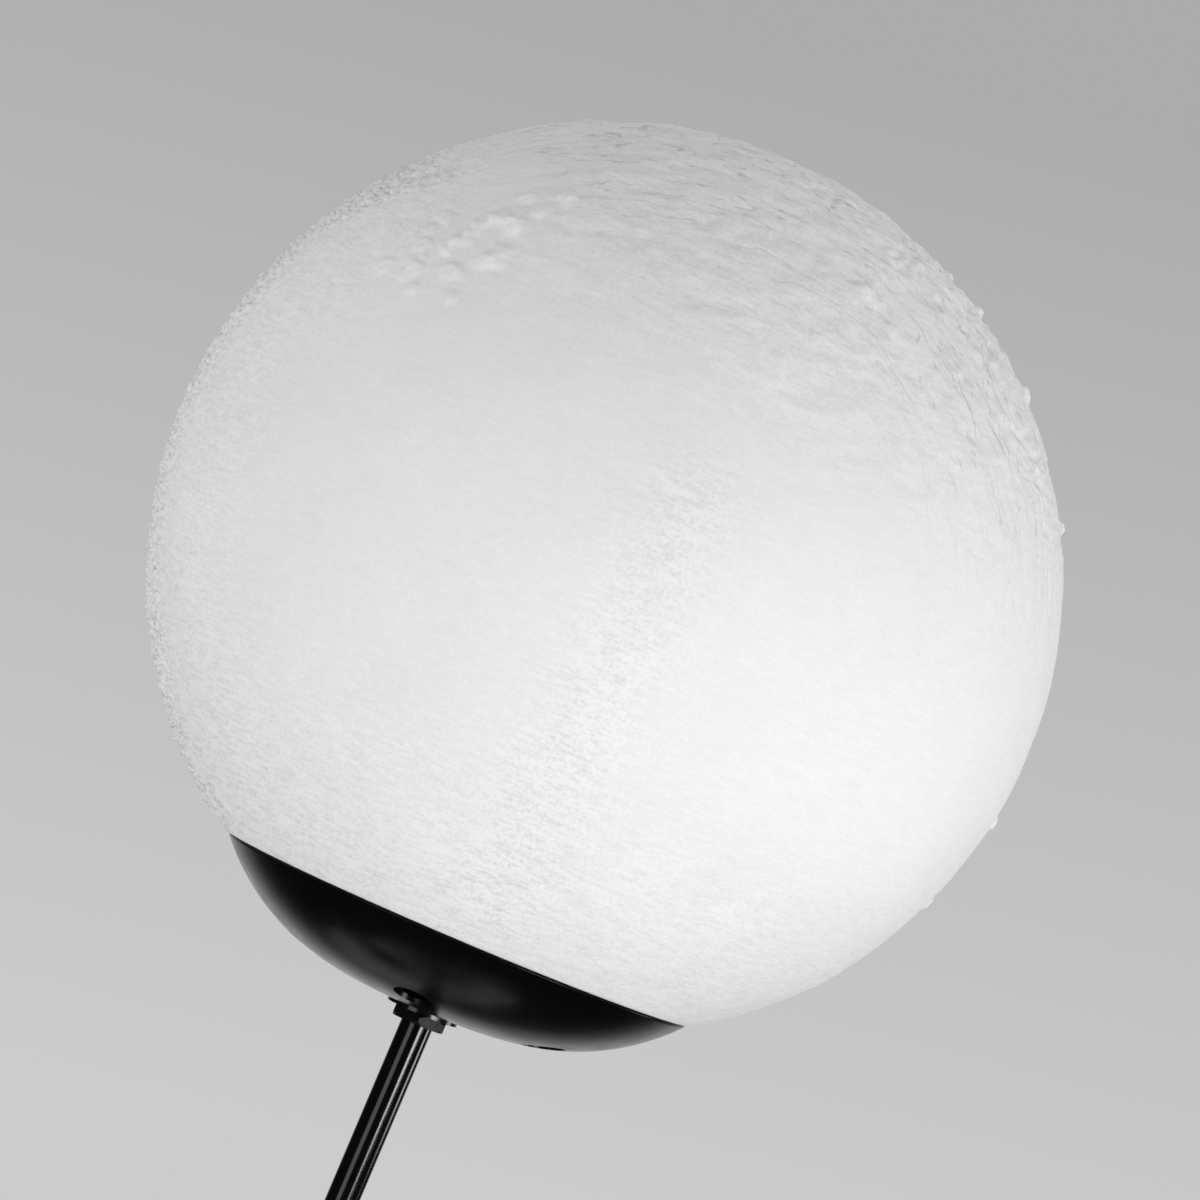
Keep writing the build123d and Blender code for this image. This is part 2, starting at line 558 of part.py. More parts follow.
def make_light():
    """Return the lampholder on its bracket and the two-pin bulb."""
    ear_gap = HOLDER_LENGTH / 2
    strip_top = BRACKET_SEAT + BRACKET_THICKNESS
    strip = block(HOLDER_LENGTH + 2 * BRACKET_THICKNESS, BRACKET_WIDTH, BRACKET_SEAT, strip_top)
    ear = block(BRACKET_THICKNESS, BRACKET_WIDTH, BRACKET_SEAT, BRACKET_SEAT + BRACKET_EAR)
    bracket = strip - disc(STEM_RADIUS + FIT, BRACKET_SEAT, strip_top)
    holder = block(HOLDER_LENGTH, HOLDER_WIDTH, HOLDER_BOTTOM, HOLDER_TOP)
    holder = fillet(holder.edges().filter_by(Axis.Z), HOLDER_ROUND)
    screw_level = HOLDER_TOP - HOLDER_SCREW_DROP
    screws = []
    for side in (-1, 1):
        bracket += Pos(side * (ear_gap + BRACKET_THICKNESS / 2), 0) * ear
    for side in (-1, 1):
        place = Pos(side * (ear_gap + BRACKET_THICKNESS), 0, screw_level) * Rot(0, -side * 90, 0)
        hole = place * disc(HOLDER_SCREW_RADIUS + FIT, 0, BRACKET_THICKNESS + HOLDER_SCREW_BITE)
        bracket -= hole
        holder -= hole
        length = BRACKET_THICKNESS + HOLDER_SCREW_BITE - SEAT_GAP
        one = screw(HOLDER_SCREW_HEAD_RADIUS, HOLDER_SCREW_HEAD, HOLDER_SCREW_RADIUS, length)
        screws.append(HEAD * place * one)

    slot_depth = PIN_LENGTH + CONTACT_LENGTH
    contacts = []
    pins = []
    for side in (-1, 1):
        spot = Pos(side * PIN_SPACING / 2, 0)
        slot_width = PIN_WIDTH + 2 * PIN_CLEARANCE
        contact_bottom = HOLDER_TOP - slot_depth
        holder -= spot * block(PIN_THICKNESS + 2 * PIN_CLEARANCE, slot_width, contact_bottom, HOLDER_TOP)
        contact_top = contact_bottom + CONTACT_LENGTH - PIN_CLEARANCE
        contacts.append(HEAD * spot * block(PIN_THICKNESS, PIN_WIDTH, contact_bottom, contact_top))
        pin = block(PIN_THICKNESS, PIN_WIDTH, BULB_SEAT - PIN_LENGTH, BULB_SEAT)
        pins.append(HEAD * spot * fillet(pin.edges().filter_by(Axis.X).group_by(Axis.Z)[0], PIN_THICKNESS))

    bulb_base = soft_disc(BULB_BASE_RADIUS, BULB_SEAT, BULB_SEAT + BULB_BASE_HEIGHT, HOLDER_ROUND / 2)
    diffuser_bottom = BULB_SEAT + BULB_BASE_HEIGHT
    diffuser = disc(BULB_RADIUS, diffuser_bottom, diffuser_bottom + BULB_HEIGHT - BULB_RADIUS)
    diffuser += Pos(0, 0, diffuser_bottom + BULB_HEIGHT - BULB_RADIUS) * Sphere(BULB_RADIUS)
    lower_nut = hex_nut(BRACKET_SEAT - BRACKET_NUT_THICKNESS, BRACKET_NUT_THICKNESS)
    upper_nut = hex_nut(strip_top, BRACKET_NUT_THICKNESS)
    return {
        "holder_bracket": HEAD * bracket,
        "bracket_nuts": [HEAD * lower_nut, HEAD * upper_nut],
        "lampholder": HEAD * holder,
        "holder_screws": screws,
        "holder_contacts": contacts,
        "bulb_base": HEAD * bulb_base,
        "bulb_diffuser": HEAD * diffuser,
        "bulb_pins": pins,
    }


def make_leg(side):
    """Return a sole, a boot and a leg for one side of the figure."""
    heel = Pos(side * STANCE, LEG_DEPTH)
    foot = Pos(side * STANCE, SOLE_SHIFT)
    screw_hole = heel * disc(FIGURE_SCREW_RADIUS + FIT, 0, SOLE_TOP + FIGURE_SCREW_BITE)
    sole = foot * stadium(SOLE_WIDTH, SOLE_LENGTH, BASE_HEIGHT, SOLE_TOP)
    for spot in GridLocations(0, SOLE_LENGTH / TREAD_COUNT, 1, TREAD_COUNT):
        groove = spot * block(SOLE_WIDTH, TREAD_WIDTH, BASE_HEIGHT, SOLE_TOP - TREAD_DEPTH)
        core = stadium(SOLE_WIDTH - 2 * TREAD_DEPTH, SOLE_LENGTH - 2 * TREAD_DEPTH, BASE_HEIGHT, SOLE_TOP)
        sole -= foot * (groove - core)
    sole -= screw_hole

    instep = Pos(side * STANCE, (SOLE_SHIFT + LEG_DEPTH) / 2)
    boot = loft([
        foot * Pos(0, 0, SOLE_TOP) * Ellipse(SOLE_WIDTH / 2 - BOOT_INSET, SOLE_LENGTH / 2 - BOOT_INSET),
        instep * Pos(0, 0, SOLE_TOP + BOOT_INSTEP) * Ellipse(SOLE_WIDTH / 2 - BOOT_INSET, INSTEP_LENGTH / 2),
        heel * Pos(0, 0, BOOT_TOP) * Ellipse(BOOT_TOP_RADIUS, BOOT_TOP_RADIUS),
    ])
    boot += heel * soft_disc(BOOT_CUFF_RADIUS, BOOT_TOP - BOOT_CUFF_HEIGHT, BOOT_TOP, BOOT_CUFF_ROUND)
    boot -= screw_hole

    ankle = (side * STANCE, LEG_DEPTH, BOOT_TOP)
    hip = (side * HIP_SPREAD, LEG_DEPTH, LEG_TOP)
    overrun = THIGH_RADIUS / 2
    run = Vector(*hip) - Vector(*ankle)
    start = Vector(*ankle) - run.normalized() * overrun
    radii = spread(ANKLE_RADIUS, KNEE_RADIUS, LEG_FOLDS // 2)
    radii += spread(KNEE_RADIUS, THIGH_RADIUS, LEG_FOLDS // 2)[1:]
    shaft = along((start.X, start.Y, start.Z), hip) * sleeve(run.length + 2 * overrun, radii, LEG_FOLD_BULGE)
    return sole, boot, shaft & disc(FAR, BOOT_TOP, LEG_TOP)


def make_body():
    """Return the hips, belt, torso, neck ring and the packs on the torso."""
    hips = loft([
        Pos(0, LEG_DEPTH, LEG_TOP) * Ellipse(HIP_WIDTH / 2, HIP_DEPTH / 2 - HIP_SWELL),
        Pos(0, LEG_DEPTH, LEG_TOP + HIP_HEIGHT / 2) * Ellipse(HIP_WIDTH / 2 + HIP_SWELL, HIP_DEPTH / 2),
        Pos(0, 0, WAIST) * Ellipse(WAIST_WIDTH / 2, WAIST_DEPTH / 2),
    ])
    belt = stadium(WAIST_WIDTH + 2 * BELT_PROUD, WAIST_DEPTH + 2 * BELT_PROUD, WAIST, BELT_TOP)
    belt = fillet(belt.edges(), BELT_ROUND)

    torso = loft([
        Pos(0, 0, BELT_TOP) * Ellipse(WAIST_WIDTH / 2, WAIST_DEPTH / 2),
        Pos(0, 0, BELT_TOP + CHEST_RISE) * Ellipse(CHEST_WIDTH / 2, CHEST_DEPTH / 2),
        Pos(0, 0, SHOULDER_HEIGHT) * Ellipse(CHEST_WIDTH / 2, CHEST_DEPTH / 2),
        Pos(0, 0, TORSO_TOP) * Ellipse(COLLAR_TOP_WIDTH / 2, COLLAR_TOP_DEPTH / 2),
    ])
    torso -= Pos(0, BACK_FLAT + FAR / 2) * block(FAR, FAR, BELT_TOP, TORSO_TOP)
    for side in (-1, 1):
        seat = Pos(side * SHOULDER_SEAT, 0, SHOULDER_HEIGHT) * Rot(0, side * 90, 0)
        torso -= seat * disc(SHOULDER_RADIUS + POCKET_GAP, 0, CHEST_WIDTH)
    pack_bottom = BELT_TOP + CHEST_PACK_LIFT
    chest_spot = Pos(0, -CHEST_SEAT - CHEST_PACK_DEPTH / 2)
    chest_top = pack_bottom + CHEST_PACK_HEIGHT
    pocket_width = CHEST_PACK_WIDTH + 2 * POCKET_GAP
    pocket = block(pocket_width, CHEST_PACK_DEPTH, pack_bottom - POCKET_GAP, chest_top + POCKET_GAP)
    torso -= chest_spot * pocket
    chest_pack = block(CHEST_PACK_WIDTH, CHEST_PACK_DEPTH, pack_bottom, chest_top)
    chest_pack = chest_spot * fillet(chest_pack.faces().sort_by(Axis.Y)[0].edges(), CHEST_PACK_ROUND)
    front = -CHEST_SEAT - CHEST_PACK_DEPTH
    knobs = []
    for index in range(KNOB_COUNT):
        shift = (index - (KNOB_COUNT - 1) / 2) * KNOB_SPACING
        spot = Pos(shift, front, pack_bottom + CHEST_PACK_HEIGHT / 2) * Rot(90, 0, 0)
        knobs.append(spot * domed_disc(KNOB_RADIUS, 0, KNOB_PROUD, KNOB_PROUD / 3))

    pack_bottom = BELT_TOP + PACK_LIFT
    pack = block(PACK_WIDTH, PACK_DEPTH, pack_bottom, pack_bottom + PACK_HEIGHT)
    pack = fillet(pack.faces().sort_by(Axis.Y)[-1].edges(), PACK_ROUND)
    pack = Pos(0, BACK_FLAT + PACK_DEPTH / 2) * pack
    hatch = Pos(0, BACK_FLAT + PACK_DEPTH, pack_bottom + PACK_HEIGHT / 2) * Rot(-90, 0, 0)
    hatch = hatch * extrude(RectangleRounded(HATCH_WIDTH, HATCH_HEIGHT, HATCH_ROUND), HATCH_THICKNESS)
    hatch = fillet(hatch.faces().sort_by(Axis.Y)[-1].edges(), HATCH_EDGE)

    return {
        "hips": hips,
        "belt": belt,
        "torso": torso,
        "neck_ring": soft_disc(NECK_RADIUS, TORSO_TOP, NECK_TOP, NECK_ROUND),
        "chest_pack": chest_pack,
        "chest_knobs": knobs,
        "backpack": pack,
        "backpack_hatch": hatch,
    }


def make_helmet():
    """Return the helmet, the visor set in it and the frame round the visor."""
    centre = Pos(0, 0, HELMET_CENTRE)

    def window(grow):
        """Return the visor's outline carried straight out to the front, grown all round."""
        shape = RectangleRounded(VISOR_WIDTH + 2 * grow, VISOR_HEIGHT + 2 * grow, VISOR_CORNER + grow)
        return Pos(0, 0, VISOR_RISE) * Rot(90, 0, 0) * extrude(shape, 2 * HELMET_RADIUS)

    seat = HELMET_RADIUS - VISOR_SUNK - VISOR_THICKNESS
    shell = Sphere(HELMET_RADIUS)
    for side in (-1, 1):
        cap = domed_disc(EAR_CAP_RADIUS, 0, HELMET_RADIUS + EAR_CAP_PROUD, EAR_CAP_ROUND)
        shell += Rot(0, side * 90, 0) * cap
    shell -= window(0) - Sphere(seat)
    shell &= disc(FAR, NECK_TOP - HELMET_CENTRE, FAR)
    visor = window(-POCKET_GAP / 2) & (Sphere(HELMET_RADIUS - VISOR_SUNK) - Sphere(seat + FIT))
    frame_shell = Sphere(HELMET_RADIUS + FRAME_PROUD) - Sphere(HELMET_RADIUS + FIT)
    frame = (window(FRAME_WIDTH) - window(0)) & frame_shell
    return {"helmet": centre * shell, "visor": centre * visor, "visor_frame": centre * frame}


def bent_finger(radius, first, wrap):
    """Return a round finger bent about Z from one angle through another, with a round tip at each end."""
    coil = STEM_RADIUS + radius - GRIP_BITE
    bend = revolve(Plane.XZ * Pos(coil, 0) * Circle(radius), axis=Axis.Z, revolution_arc=wrap)
    tip = Pos(coil, 0) * Sphere(radius, arc_size3=HALF_TURN)
    root = Pos(coil, 0) * Rot(0, 0, HALF_TURN) * Sphere(radius, arc_size3=HALF_TURN)
    return Rot(0, 0, first) * (bend + Rot(0, 0, wrap) * tip + root)


def make_glove():
    """Return a gauntlet closed round the stem: local Z is the stem, local X points to the elbow."""
    span = FINGER_PITCH * (FINGER_COUNT - 1) + 2 * FINGER_RADIUS
    palm_length = GLOVE_REACH - STEM_RADIUS - WRIST_STEP
    palm = fillet(Box(palm_length, PALM_WIDTH, span).edges(), PALM_ROUND)
    hand = Pos(STEM_RADIUS + palm_length / 2, 0) * palm
    hand += Rot(0, 90, 0) * disc(WRIST_RADIUS, GLOVE_REACH / 2, GLOVE_REACH)
    for index in range(FINGER_COUNT):
        level = (index - (FINGER_COUNT - 1) / 2) * FINGER_PITCH
        hand += Pos(0, 0, level) * bent_finger(FINGER_RADIUS, FINGER_START, FINGER_WRAP)
    hand += Pos(0, 0, FINGER_PITCH / 2) * bent_finger(THUMB_RADIUS, -FINGER_START - THUMB_WRAP, THUMB_WRAP)
    return hand - disc(STEM_RADIUS + FIT, -span, span)


def make_arm(side, grip_run, swing):
    """Return an arm, its cuff and its glove, from the shoulder to the grip on the stem."""
    grip = STEM * Pos(0, 0, grip_run) * Rot(0, 0, swing)
    elbow_spot = (grip * Pos(FOREARM_LENGTH, 0)).position
    wrist_spot = (grip * Pos(WRIST_REACH, 0)).position
    elbow = (elbow_spot.X, elbow_spot.Y, elbow_spot.Z)
    wrist = (wrist_spot.X, wrist_spot.Y, wrist_spot.Z)
    shoulder = (side * SHOULDER_SPREAD, 0, SHOULDER_HEIGHT)
    upper_length = (Vector(*elbow) - Vector(*shoulder)).length
    lower_length = FOREARM_LENGTH - WRIST_REACH
    upper_radii = spread(UPPER_ARM_RADIUS, ELBOW_RADIUS, ARM_FOLDS)
    lower_radii = spread(WRIST_RADIUS, ELBOW_RADIUS, ARM_FOLDS)
    upper = along(shoulder, elbow) * sleeve(upper_length, upper_radii, ARM_FOLD_BULGE)
    lower = along(wrist, elbow) * sleeve(lower_length, lower_radii, ARM_FOLD_BULGE)
    arm = Pos(*shoulder) * Sphere(SHOULDER_RADIUS) + upper + Pos(*elbow) * Sphere(ELBOW_RADIUS) + lower
    arm -= Pos(side * (SHOULDER_SEAT - FAR / 2), 0) * block(FAR, FAR, 0, FAR)
    cuff = grip * Rot(0, 90, 0) * soft_disc(CUFF_RADIUS, GLOVE_REACH, WRIST_REACH, CUFF_ROUND)
    glove = make_glove()
    if side > 0:
        glove = mirror(glove, about=Plane.XZ)
    return arm, cuff, grip * glove


def make_figure():
    """Return the pieces of the astronaut."""
    pieces = make_body() | make_helmet()
    grips = {"right": (-1, LOW_GRIP_RUN, RIGHT_SWING), "left": (1, HIGH_GRIP_RUN, LEFT_SWING)}
    for name, (side, run, swing) in grips.items():
        sole, boot, leg = make_leg(side)
        arm, cuff, glove = make_arm(side, run, swing)
        made = {"sole": sole, "boot": boot, "leg": leg, "arm": arm, "cuff": cuff, "glove": glove}
        for piece, shape in made.items():
            pieces[f"{name}_{piece}"] = shape
    return pieces


def main():
    """Write every piece to its own file."""
    os.makedirs("parts", exist_ok=True)
    for node, shape in (make_base() | make_stem() | make_head() | make_light() | make_figure()).items():
        solids = shape if isinstance(shape, list) else [shape]
        flat = [solid for one in solids for solid in one.solids()]
        export_step(flat[0] if len(flat) == 1 else Compound(children=flat), f"parts/{node}.step")


main()
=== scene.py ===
import json
import logging
import math
from dataclasses import dataclass
from enum import Enum

import bmesh
import bpy
import numpy as np
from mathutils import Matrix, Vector, noise


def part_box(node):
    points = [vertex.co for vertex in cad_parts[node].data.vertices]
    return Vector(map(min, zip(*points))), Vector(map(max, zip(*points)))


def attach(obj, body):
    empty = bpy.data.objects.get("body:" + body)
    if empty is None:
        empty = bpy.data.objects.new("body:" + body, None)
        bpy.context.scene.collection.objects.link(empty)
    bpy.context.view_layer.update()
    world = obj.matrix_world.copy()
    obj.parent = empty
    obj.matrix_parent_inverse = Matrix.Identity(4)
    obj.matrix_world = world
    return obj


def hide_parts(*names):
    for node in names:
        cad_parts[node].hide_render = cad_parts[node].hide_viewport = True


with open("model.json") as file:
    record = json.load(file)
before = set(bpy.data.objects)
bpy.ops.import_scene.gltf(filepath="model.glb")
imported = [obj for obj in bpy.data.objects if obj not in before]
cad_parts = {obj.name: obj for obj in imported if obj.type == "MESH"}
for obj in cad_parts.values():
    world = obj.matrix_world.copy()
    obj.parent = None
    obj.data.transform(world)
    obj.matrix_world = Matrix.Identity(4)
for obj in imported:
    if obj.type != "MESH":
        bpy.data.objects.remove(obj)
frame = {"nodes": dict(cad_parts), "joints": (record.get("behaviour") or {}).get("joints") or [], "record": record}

# A table lamp: an astronaut on a round base holds a leaning tube with a dish and a printed moon globe.
# Lengths named _mm are millimetres, all others are metres. The figure faces -Y and the tube leans to +X.

LOG = logging.getLogger("lamp")
MM = 0.001
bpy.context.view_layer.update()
AXIS = Vector(frame["joints"][0]["axis"])
TILT = Vector((0.0, 0.0, 1.0)).rotation_difference(AXIS)
TURN = np.array(TILT.to_matrix())
ZONE_FIELD = "print_zones"
# From the camera to the globe, in metres.
CAMERA_FAR = 1.9

# Socket numbers of the Mix node, which has several sockets of each name: its colours and its numbers.
MIX_A, MIX_B, MIXED = 6, 7, 2
NUMBER_A, NUMBER_B = 2, 3
# Values of a noise node between which gloss changes, and its middle.
GLOSS_NOISE = (0.3, 0.7)
NOISE_MIDDLE = 0.5
LEAST_ROUGHNESS = 0.03
# Openness between which a crevice loses its painted shade.
SHADE_OPENNESS = (0.25, 0.85)

Colour = tuple[float, float, float, float]
Setting = float | int | str | bool | tuple
Socket = bpy.types.NodeSocket


def linear(code: str) -> Colour:
    """Turn an sRGB hex colour into linear light.

    Args:
        code: Six hex digits after a hash sign.

    Returns:
        Linear red, green, blue and a full alpha.
    """
    parts = [int(code[i : i + 2], 16) / 255.0 for i in (1, 3, 5)]
    light = [p / 12.92 if p <= 0.04045 else ((p + 0.055) / 1.055) ** 2.4 for p in parts]
    return (light[0], light[1], light[2], 1.0)


def add_node(
    tree: bpy.types.NodeTree,
    kind: str,
    settings: dict[str | int, Setting] | None = None,
    links: dict[str | int, Socket] | None = None,
) -> bpy.types.Node:
    """Add a shader node with its settings and its incoming links.

    Args:
        tree: The node tree that the node goes into.
        kind: The node's type, without its ShaderNode prefix.
        settings: Values by input name or number, or by property name.
        links: Output sockets by the input name or number that they feed.

    Returns:
        The new node.
    """
    node = tree.nodes.new("ShaderNode" + kind)
    for key, value in (settings or {}).items():
        if isinstance(key, int) or key in node.inputs:
            node.inputs[key].default_value = value
        else:
            setattr(node, key, value)
    for key, source in (links or {}).items():
        tree.links.new(source, node.inputs[key])
    return node


def per_metre(size_mm: float) -> float:
    """Return a texture scale whose pattern repeats about once in this many millimetres."""
    return 1.0 / (size_mm * MM)


def smooth(low: float, high: float, value: np.ndarray) -> np.ndarray:
    """Return 0 below low, 1 above high and an S-curve between."""
    share = np.clip((value - low) / (high - low), 0.0, 1.0)
    return share * share * (3.0 - 2.0 * share)


class Body(Enum):
    """The bodies that dressed pieces move with."""

    STAND = "stand"
    GLOBE = "globe"


@dataclass(frozen=True)
class Finish:
    """A surface: its colour with slow patches, its gloss with smudges, and a fine relief."""

    name: str
    colour: str
    tint: str
    roughness: float
    smudge: float = 0.06
    metallic: float = 0.0
    ior: float = 1.5
    patch_mm: float = 18.0
    smudge_mm: float = 7.0
    grain_mm: float = 0.6
    depth_mm: float = 0.02
    coat: float = 0.0
    coat_roughness: float = 0.1
    subsurface: float = 0.0
    subsurface_mm: float = 1.0
    # Colour of the painted shade in crevices, from ambient occlusion, none if empty, and how far the occlusion
    # looks.
    crevice_shade: str = ""
    crevice_shade_mm: float = 3.0

    def relief(self, tree: bpy.types.NodeTree, spot: Socket) -> Socket:
        """Return the height of the fine relief, from 0 to 1.

        Args:
            tree: The material's node tree.
            spot: The place on the piece, in metres.

        Returns:
            The socket that gives the height.
        """
        grain = add_node(
            tree, "TexNoise", {"Scale": per_metre(self.grain_mm), "Detail": 2.0}, {"Vector": spot}
        )
        return grain.outputs[0]

    def shade(self, tree: bpy.types.NodeTree, spot: Socket, height: Socket) -> Socket:
        """Return the colour: two close tones in slow patches, and painted shade in the crevices if there is a
        colour for it.

        Args:
            tree: The material's node tree.
            spot: The place on the piece, in metres.
            height: The height of the fine relief, for finishes that paint shade in its hollows.

        Returns:
            The socket that gives the colour.
        """
        patch = add_node(
            tree, "TexNoise", {"Scale": per_metre(self.patch_mm), "Detail": 4.0}, {"Vector": spot}
        )
        tone = add_node(
            tree,
            "Mix",
            {"data_type": "RGBA", MIX_A: linear(self.colour), MIX_B: linear(self.tint)},
            {0: patch.outputs[0]},
        )
        if not self.crevice_shade:
            return tone.outputs[MIXED]
        # Painted shade: the colour darkens towards the crevice shade colour where ambient occlusion finds the
        # surface closed in.
        near = add_node(tree, "AmbientOcclusion", {"samples": 8, "Distance": self.crevice_shade_mm * MM})
        open_share = add_node(
            tree,
            "MapRange",
            {"From Min": SHADE_OPENNESS[0], "From Max": SHADE_OPENNESS[1]},
            {"Value": near.outputs["AO"]},
        )
        shaded = add_node(
            tree,
            "Mix",
            {"data_type": "RGBA", MIX_A: linear(self.crevice_shade)},
            {0: open_share.outputs[0], MIX_B: tone.outputs[MIXED]},
        )
        return shaded.outputs[MIXED]

    def material(self) -> bpy.types.Material:
        """Build the material.

        Returns:
            A new material with its node tree.
        """
        made = bpy.data.materials.new(self.name)
        made.use_nodes = True
        tree = made.node_tree
        tree.nodes.clear()
        spot = add_node(tree, "TexCoord").outputs["Object"]
        smudge = add_node(
            tree, "TexNoise", {"Scale": per_metre(self.smudge_mm), "Detail": 5.0}, {"Vector": spot}
        )
        gloss = add_node(
            tree,
            "MapRange",
            {
                "From Min": GLOSS_NOISE[0],
                "From Max": GLOSS_NOISE[1],
                "To Min": max(self.roughness - self.smudge, LEAST_ROUGHNESS),
                "To Max": min(self.roughness + self.smudge, 1.0),
            },
            {"Value": smudge.outputs[0]},
        )
        height = self.relief(tree, spot)
        bump = add_node(
            tree, "Bump", {"Strength": 1.0, "Distance": self.depth_mm * MM}, {"Height": height}
        )
        settings: dict[str | int, Setting] = {
            "Metallic": self.metallic,
            "Coat Weight": self.coat,
            "Coat Roughness": self.coat_roughness,
            "Subsurface Weight": self.subsurface,
            "Subsurface Scale": self.subsurface_mm * MM,
            "Subsurface Radius": (1.0, 1.0, 1.0),
        }
        if not self.metallic:
            settings["IOR"] = self.ior
        surface = add_node(
            tree,
            "BsdfPrincipled",
            settings,
            {
                "Base Color": self.shade(tree, spot, height),
                "Roughness": gloss.outputs[0],
                "Normal": bump.outputs[0],
            },
        )
        add_node(tree, "OutputMaterial", {}, {"Surface": surface.outputs[0]})
        return made


@dataclass(frozen=True)
class Printed(Finish):
    """A surface laid down in layers by a nozzle: short strokes, stray grains and hairline cracks.

    The mesh's zone field holds how strong the strokes and grains are in its red, and the cracks in
    its green. Hollows and cracks get painted shade: their colour is darker.
    """

    layer_lean: float = 0.0
    stroke_mm: tuple[float, float, float] = (5.0, 5.0, 0.8)
    stroke_bend: float = 0.6
    stroke_share: float = 0.5
    crack_mm: tuple[float, float, float] = (30.0, 3.0, 30.0)
    crack_bend: float = 0.25
    crack_width: float = 0.011
    crack_depth: float = 0.17
    # Colour of the painted shade in the relief's hollows and cracks, and the heights between which it fades in.
    hollow_shade: str = "#bfbec1"
    shade_heights: tuple[float, float] = (-0.3, 0.035)

    def relief(self, tree: bpy.types.NodeTree, spot: Socket) -> Socket:
        """Return strokes and grains about zero, less the cracks; see Finish.relief."""
        field = add_node(tree, "Attribute", {"attribute_name": ZONE_FIELD})
        zone = add_node(tree, "SeparateColor", {}, {0: field.outputs["Color"]})
        spread = add_node(
            tree,
            "Mapping",
            {"Scale": tuple(per_metre(size) for size in self.crack_mm)},
            {"Vector": spot},
        )
        ripples = add_node(
            tree,
            "TexNoise",
            {"Scale": 1.0, "Detail": 1.0, "Distortion": self.crack_bend},
            {"Vector": spread.outputs[0]},
        )
        line = add_node(
            tree,
            "Math",
            {"operation": "COMPARE", 1: NOISE_MIDDLE, 2: self.crack_width},
            {0: ripples.outputs[0]},
        )
        sunk = add_node(
            tree, "Math", {"operation": "MULTIPLY"}, {0: line.outputs[0], 1: zone.outputs["Green"]}
        )
        upright = add_node(
            tree,
            "VectorRotate",
            {"rotation_type": "Y_AXIS", "Angle": -self.layer_lean},
            {"Vector": spot},
        )
        drawn = add_node(
            tree,
            "Mapping",
            {"Scale": tuple(per_metre(size) for size in self.stroke_mm)},
            {"Vector": upright.outputs[0]},
        )
        strokes = add_node(
            tree,
            "TexNoise",
            {"Scale": 1.0, "Detail": 3.0, "Distortion": self.stroke_bend},
            {"Vector": drawn.outputs[0]},
        )
        grain = add_node(
            tree, "TexNoise", {"Scale": per_metre(self.grain_mm), "Detail": 3.0}, {"Vector": spot}
        )
        both = add_node(
            tree,
            "Mix",
            {"data_type": "FLOAT", 0: self.stroke_share},
            {NUMBER_A: grain.outputs[0], NUMBER_B: strokes.outputs[0]},
        )
        level = add_node(
            tree, "Math", {"operation": "SUBTRACT", 1: NOISE_MIDDLE}, {0: both.outputs[0]}
        )
        scaled = add_node(
            tree, "Math", {"operation": "MULTIPLY"}, {0: level.outputs[0], 1: zone.outputs["Red"]}
        )
        height = add_node(
            tree,
            "Math",
            {"operation": "MULTIPLY_ADD", 1: -self.crack_depth},
            {0: sunk.outputs[0], 2: scaled.outputs[0]},
        )
        return height.outputs[0]

    def shade(self, tree: bpy.types.NodeTree, spot: Socket, height: Socket) -> Socket:
        """Return the slow patches with painted shade in the hollows between strokes and grains and in the cracks;
        see Finish.shade.
        """
        low, high = self.shade_heights
        # Painted shade: the colour darkens towards the hollow shade colour where the relief's height is low.
        sunk = add_node(
            tree,
            "MapRange",
            {"From Min": low, "From Max": high, "To Min": 1.0, "To Max": 0.0},
            {"Value": height},
        )
        tone = add_node(
            tree,
            "Mix",
            {"data_type": "RGBA", MIX_B: linear(self.hollow_shade)},
            {0: sunk.outputs[0], MIX_A: super().shade(tree, spot, height)},
        )
        return tone.outputs[MIXED]


@dataclass(frozen=True)
class Brushed(Finish):
    """A metal surface with fine marks along one direction."""

    mark_mm: tuple[float, float, float] = (0.25, 0.25, 6.0)

    def relief(self, tree: bpy.types.NodeTree, spot: Socket) -> Socket:
        """Return marks that are long along one direction; see Finish.relief."""
        drawn = add_node(
            tree,
            "Mapping",
            {"Scale": tuple(per_metre(size) for size in self.mark_mm)},
            {"Vector": spot},
        )
        marks = add_node(
            tree, "TexNoise", {"Scale": 1.0, "Detail": 2.0}, {"Vector": drawn.outputs[0]}
        )
        return marks.outputs[0]


@dataclass(frozen=True)
class Cellular(Finish):
    """A surface of small cells, such as foam or sand-cast iron."""

    def relief(self, tree: bpy.types.NodeTree, spot: Socket) -> Socket:
        """Return rounded cells; see Finish.relief."""
        cells = add_node(
            tree, "TexVoronoi", {"Scale": per_metre(self.grain_mm)}, {"Vector": spot}
        )
        return cells.outputs["Distance"]


# Printed PLA, matte and slightly see-through: soft white with faint patches, strokes, sugar-like grains and
# painted shade in their hollows.
# The real layers are about 0.2 mm, and several are drawn as one stroke of 0.8 mm so that they show.
MOON_PRINT = Printed(
    name="printed_pla_moon",
    colour="#f6f5f5",
    tint="#eeedee",
    roughness=0.62,
    patch_mm=30.0,
    grain_mm=0.9,
    depth_mm=0.2,
    subsurface=0.12,
    subsurface_mm=2.0,
    layer_lean=TILT.angle,
)
# Sprayed enamel on spun steel: deep black with a low sheen that only the edges return.
BLACK_ENAMEL = Finish(
    name="sprayed_black_enamel",
    colour="#050506",
    tint="#08080a",
    roughness=0.24,
    smudge=0.04,
    ior=1.3,
    grain_mm=1.4,
    depth_mm=0.004,
)
# Gloss lacquer on the drawn tube: black with sharp streaks along its length.
TUBE_LACQUER = Finish(
    name="gloss_black_tube_lacquer",
    colour="#060607",
    tint="#0a0a0b",
    roughness=0.13,
    smudge=0.03,
    ior=1.5,
    grain_mm=4.0,
    depth_mm=0.001,
)
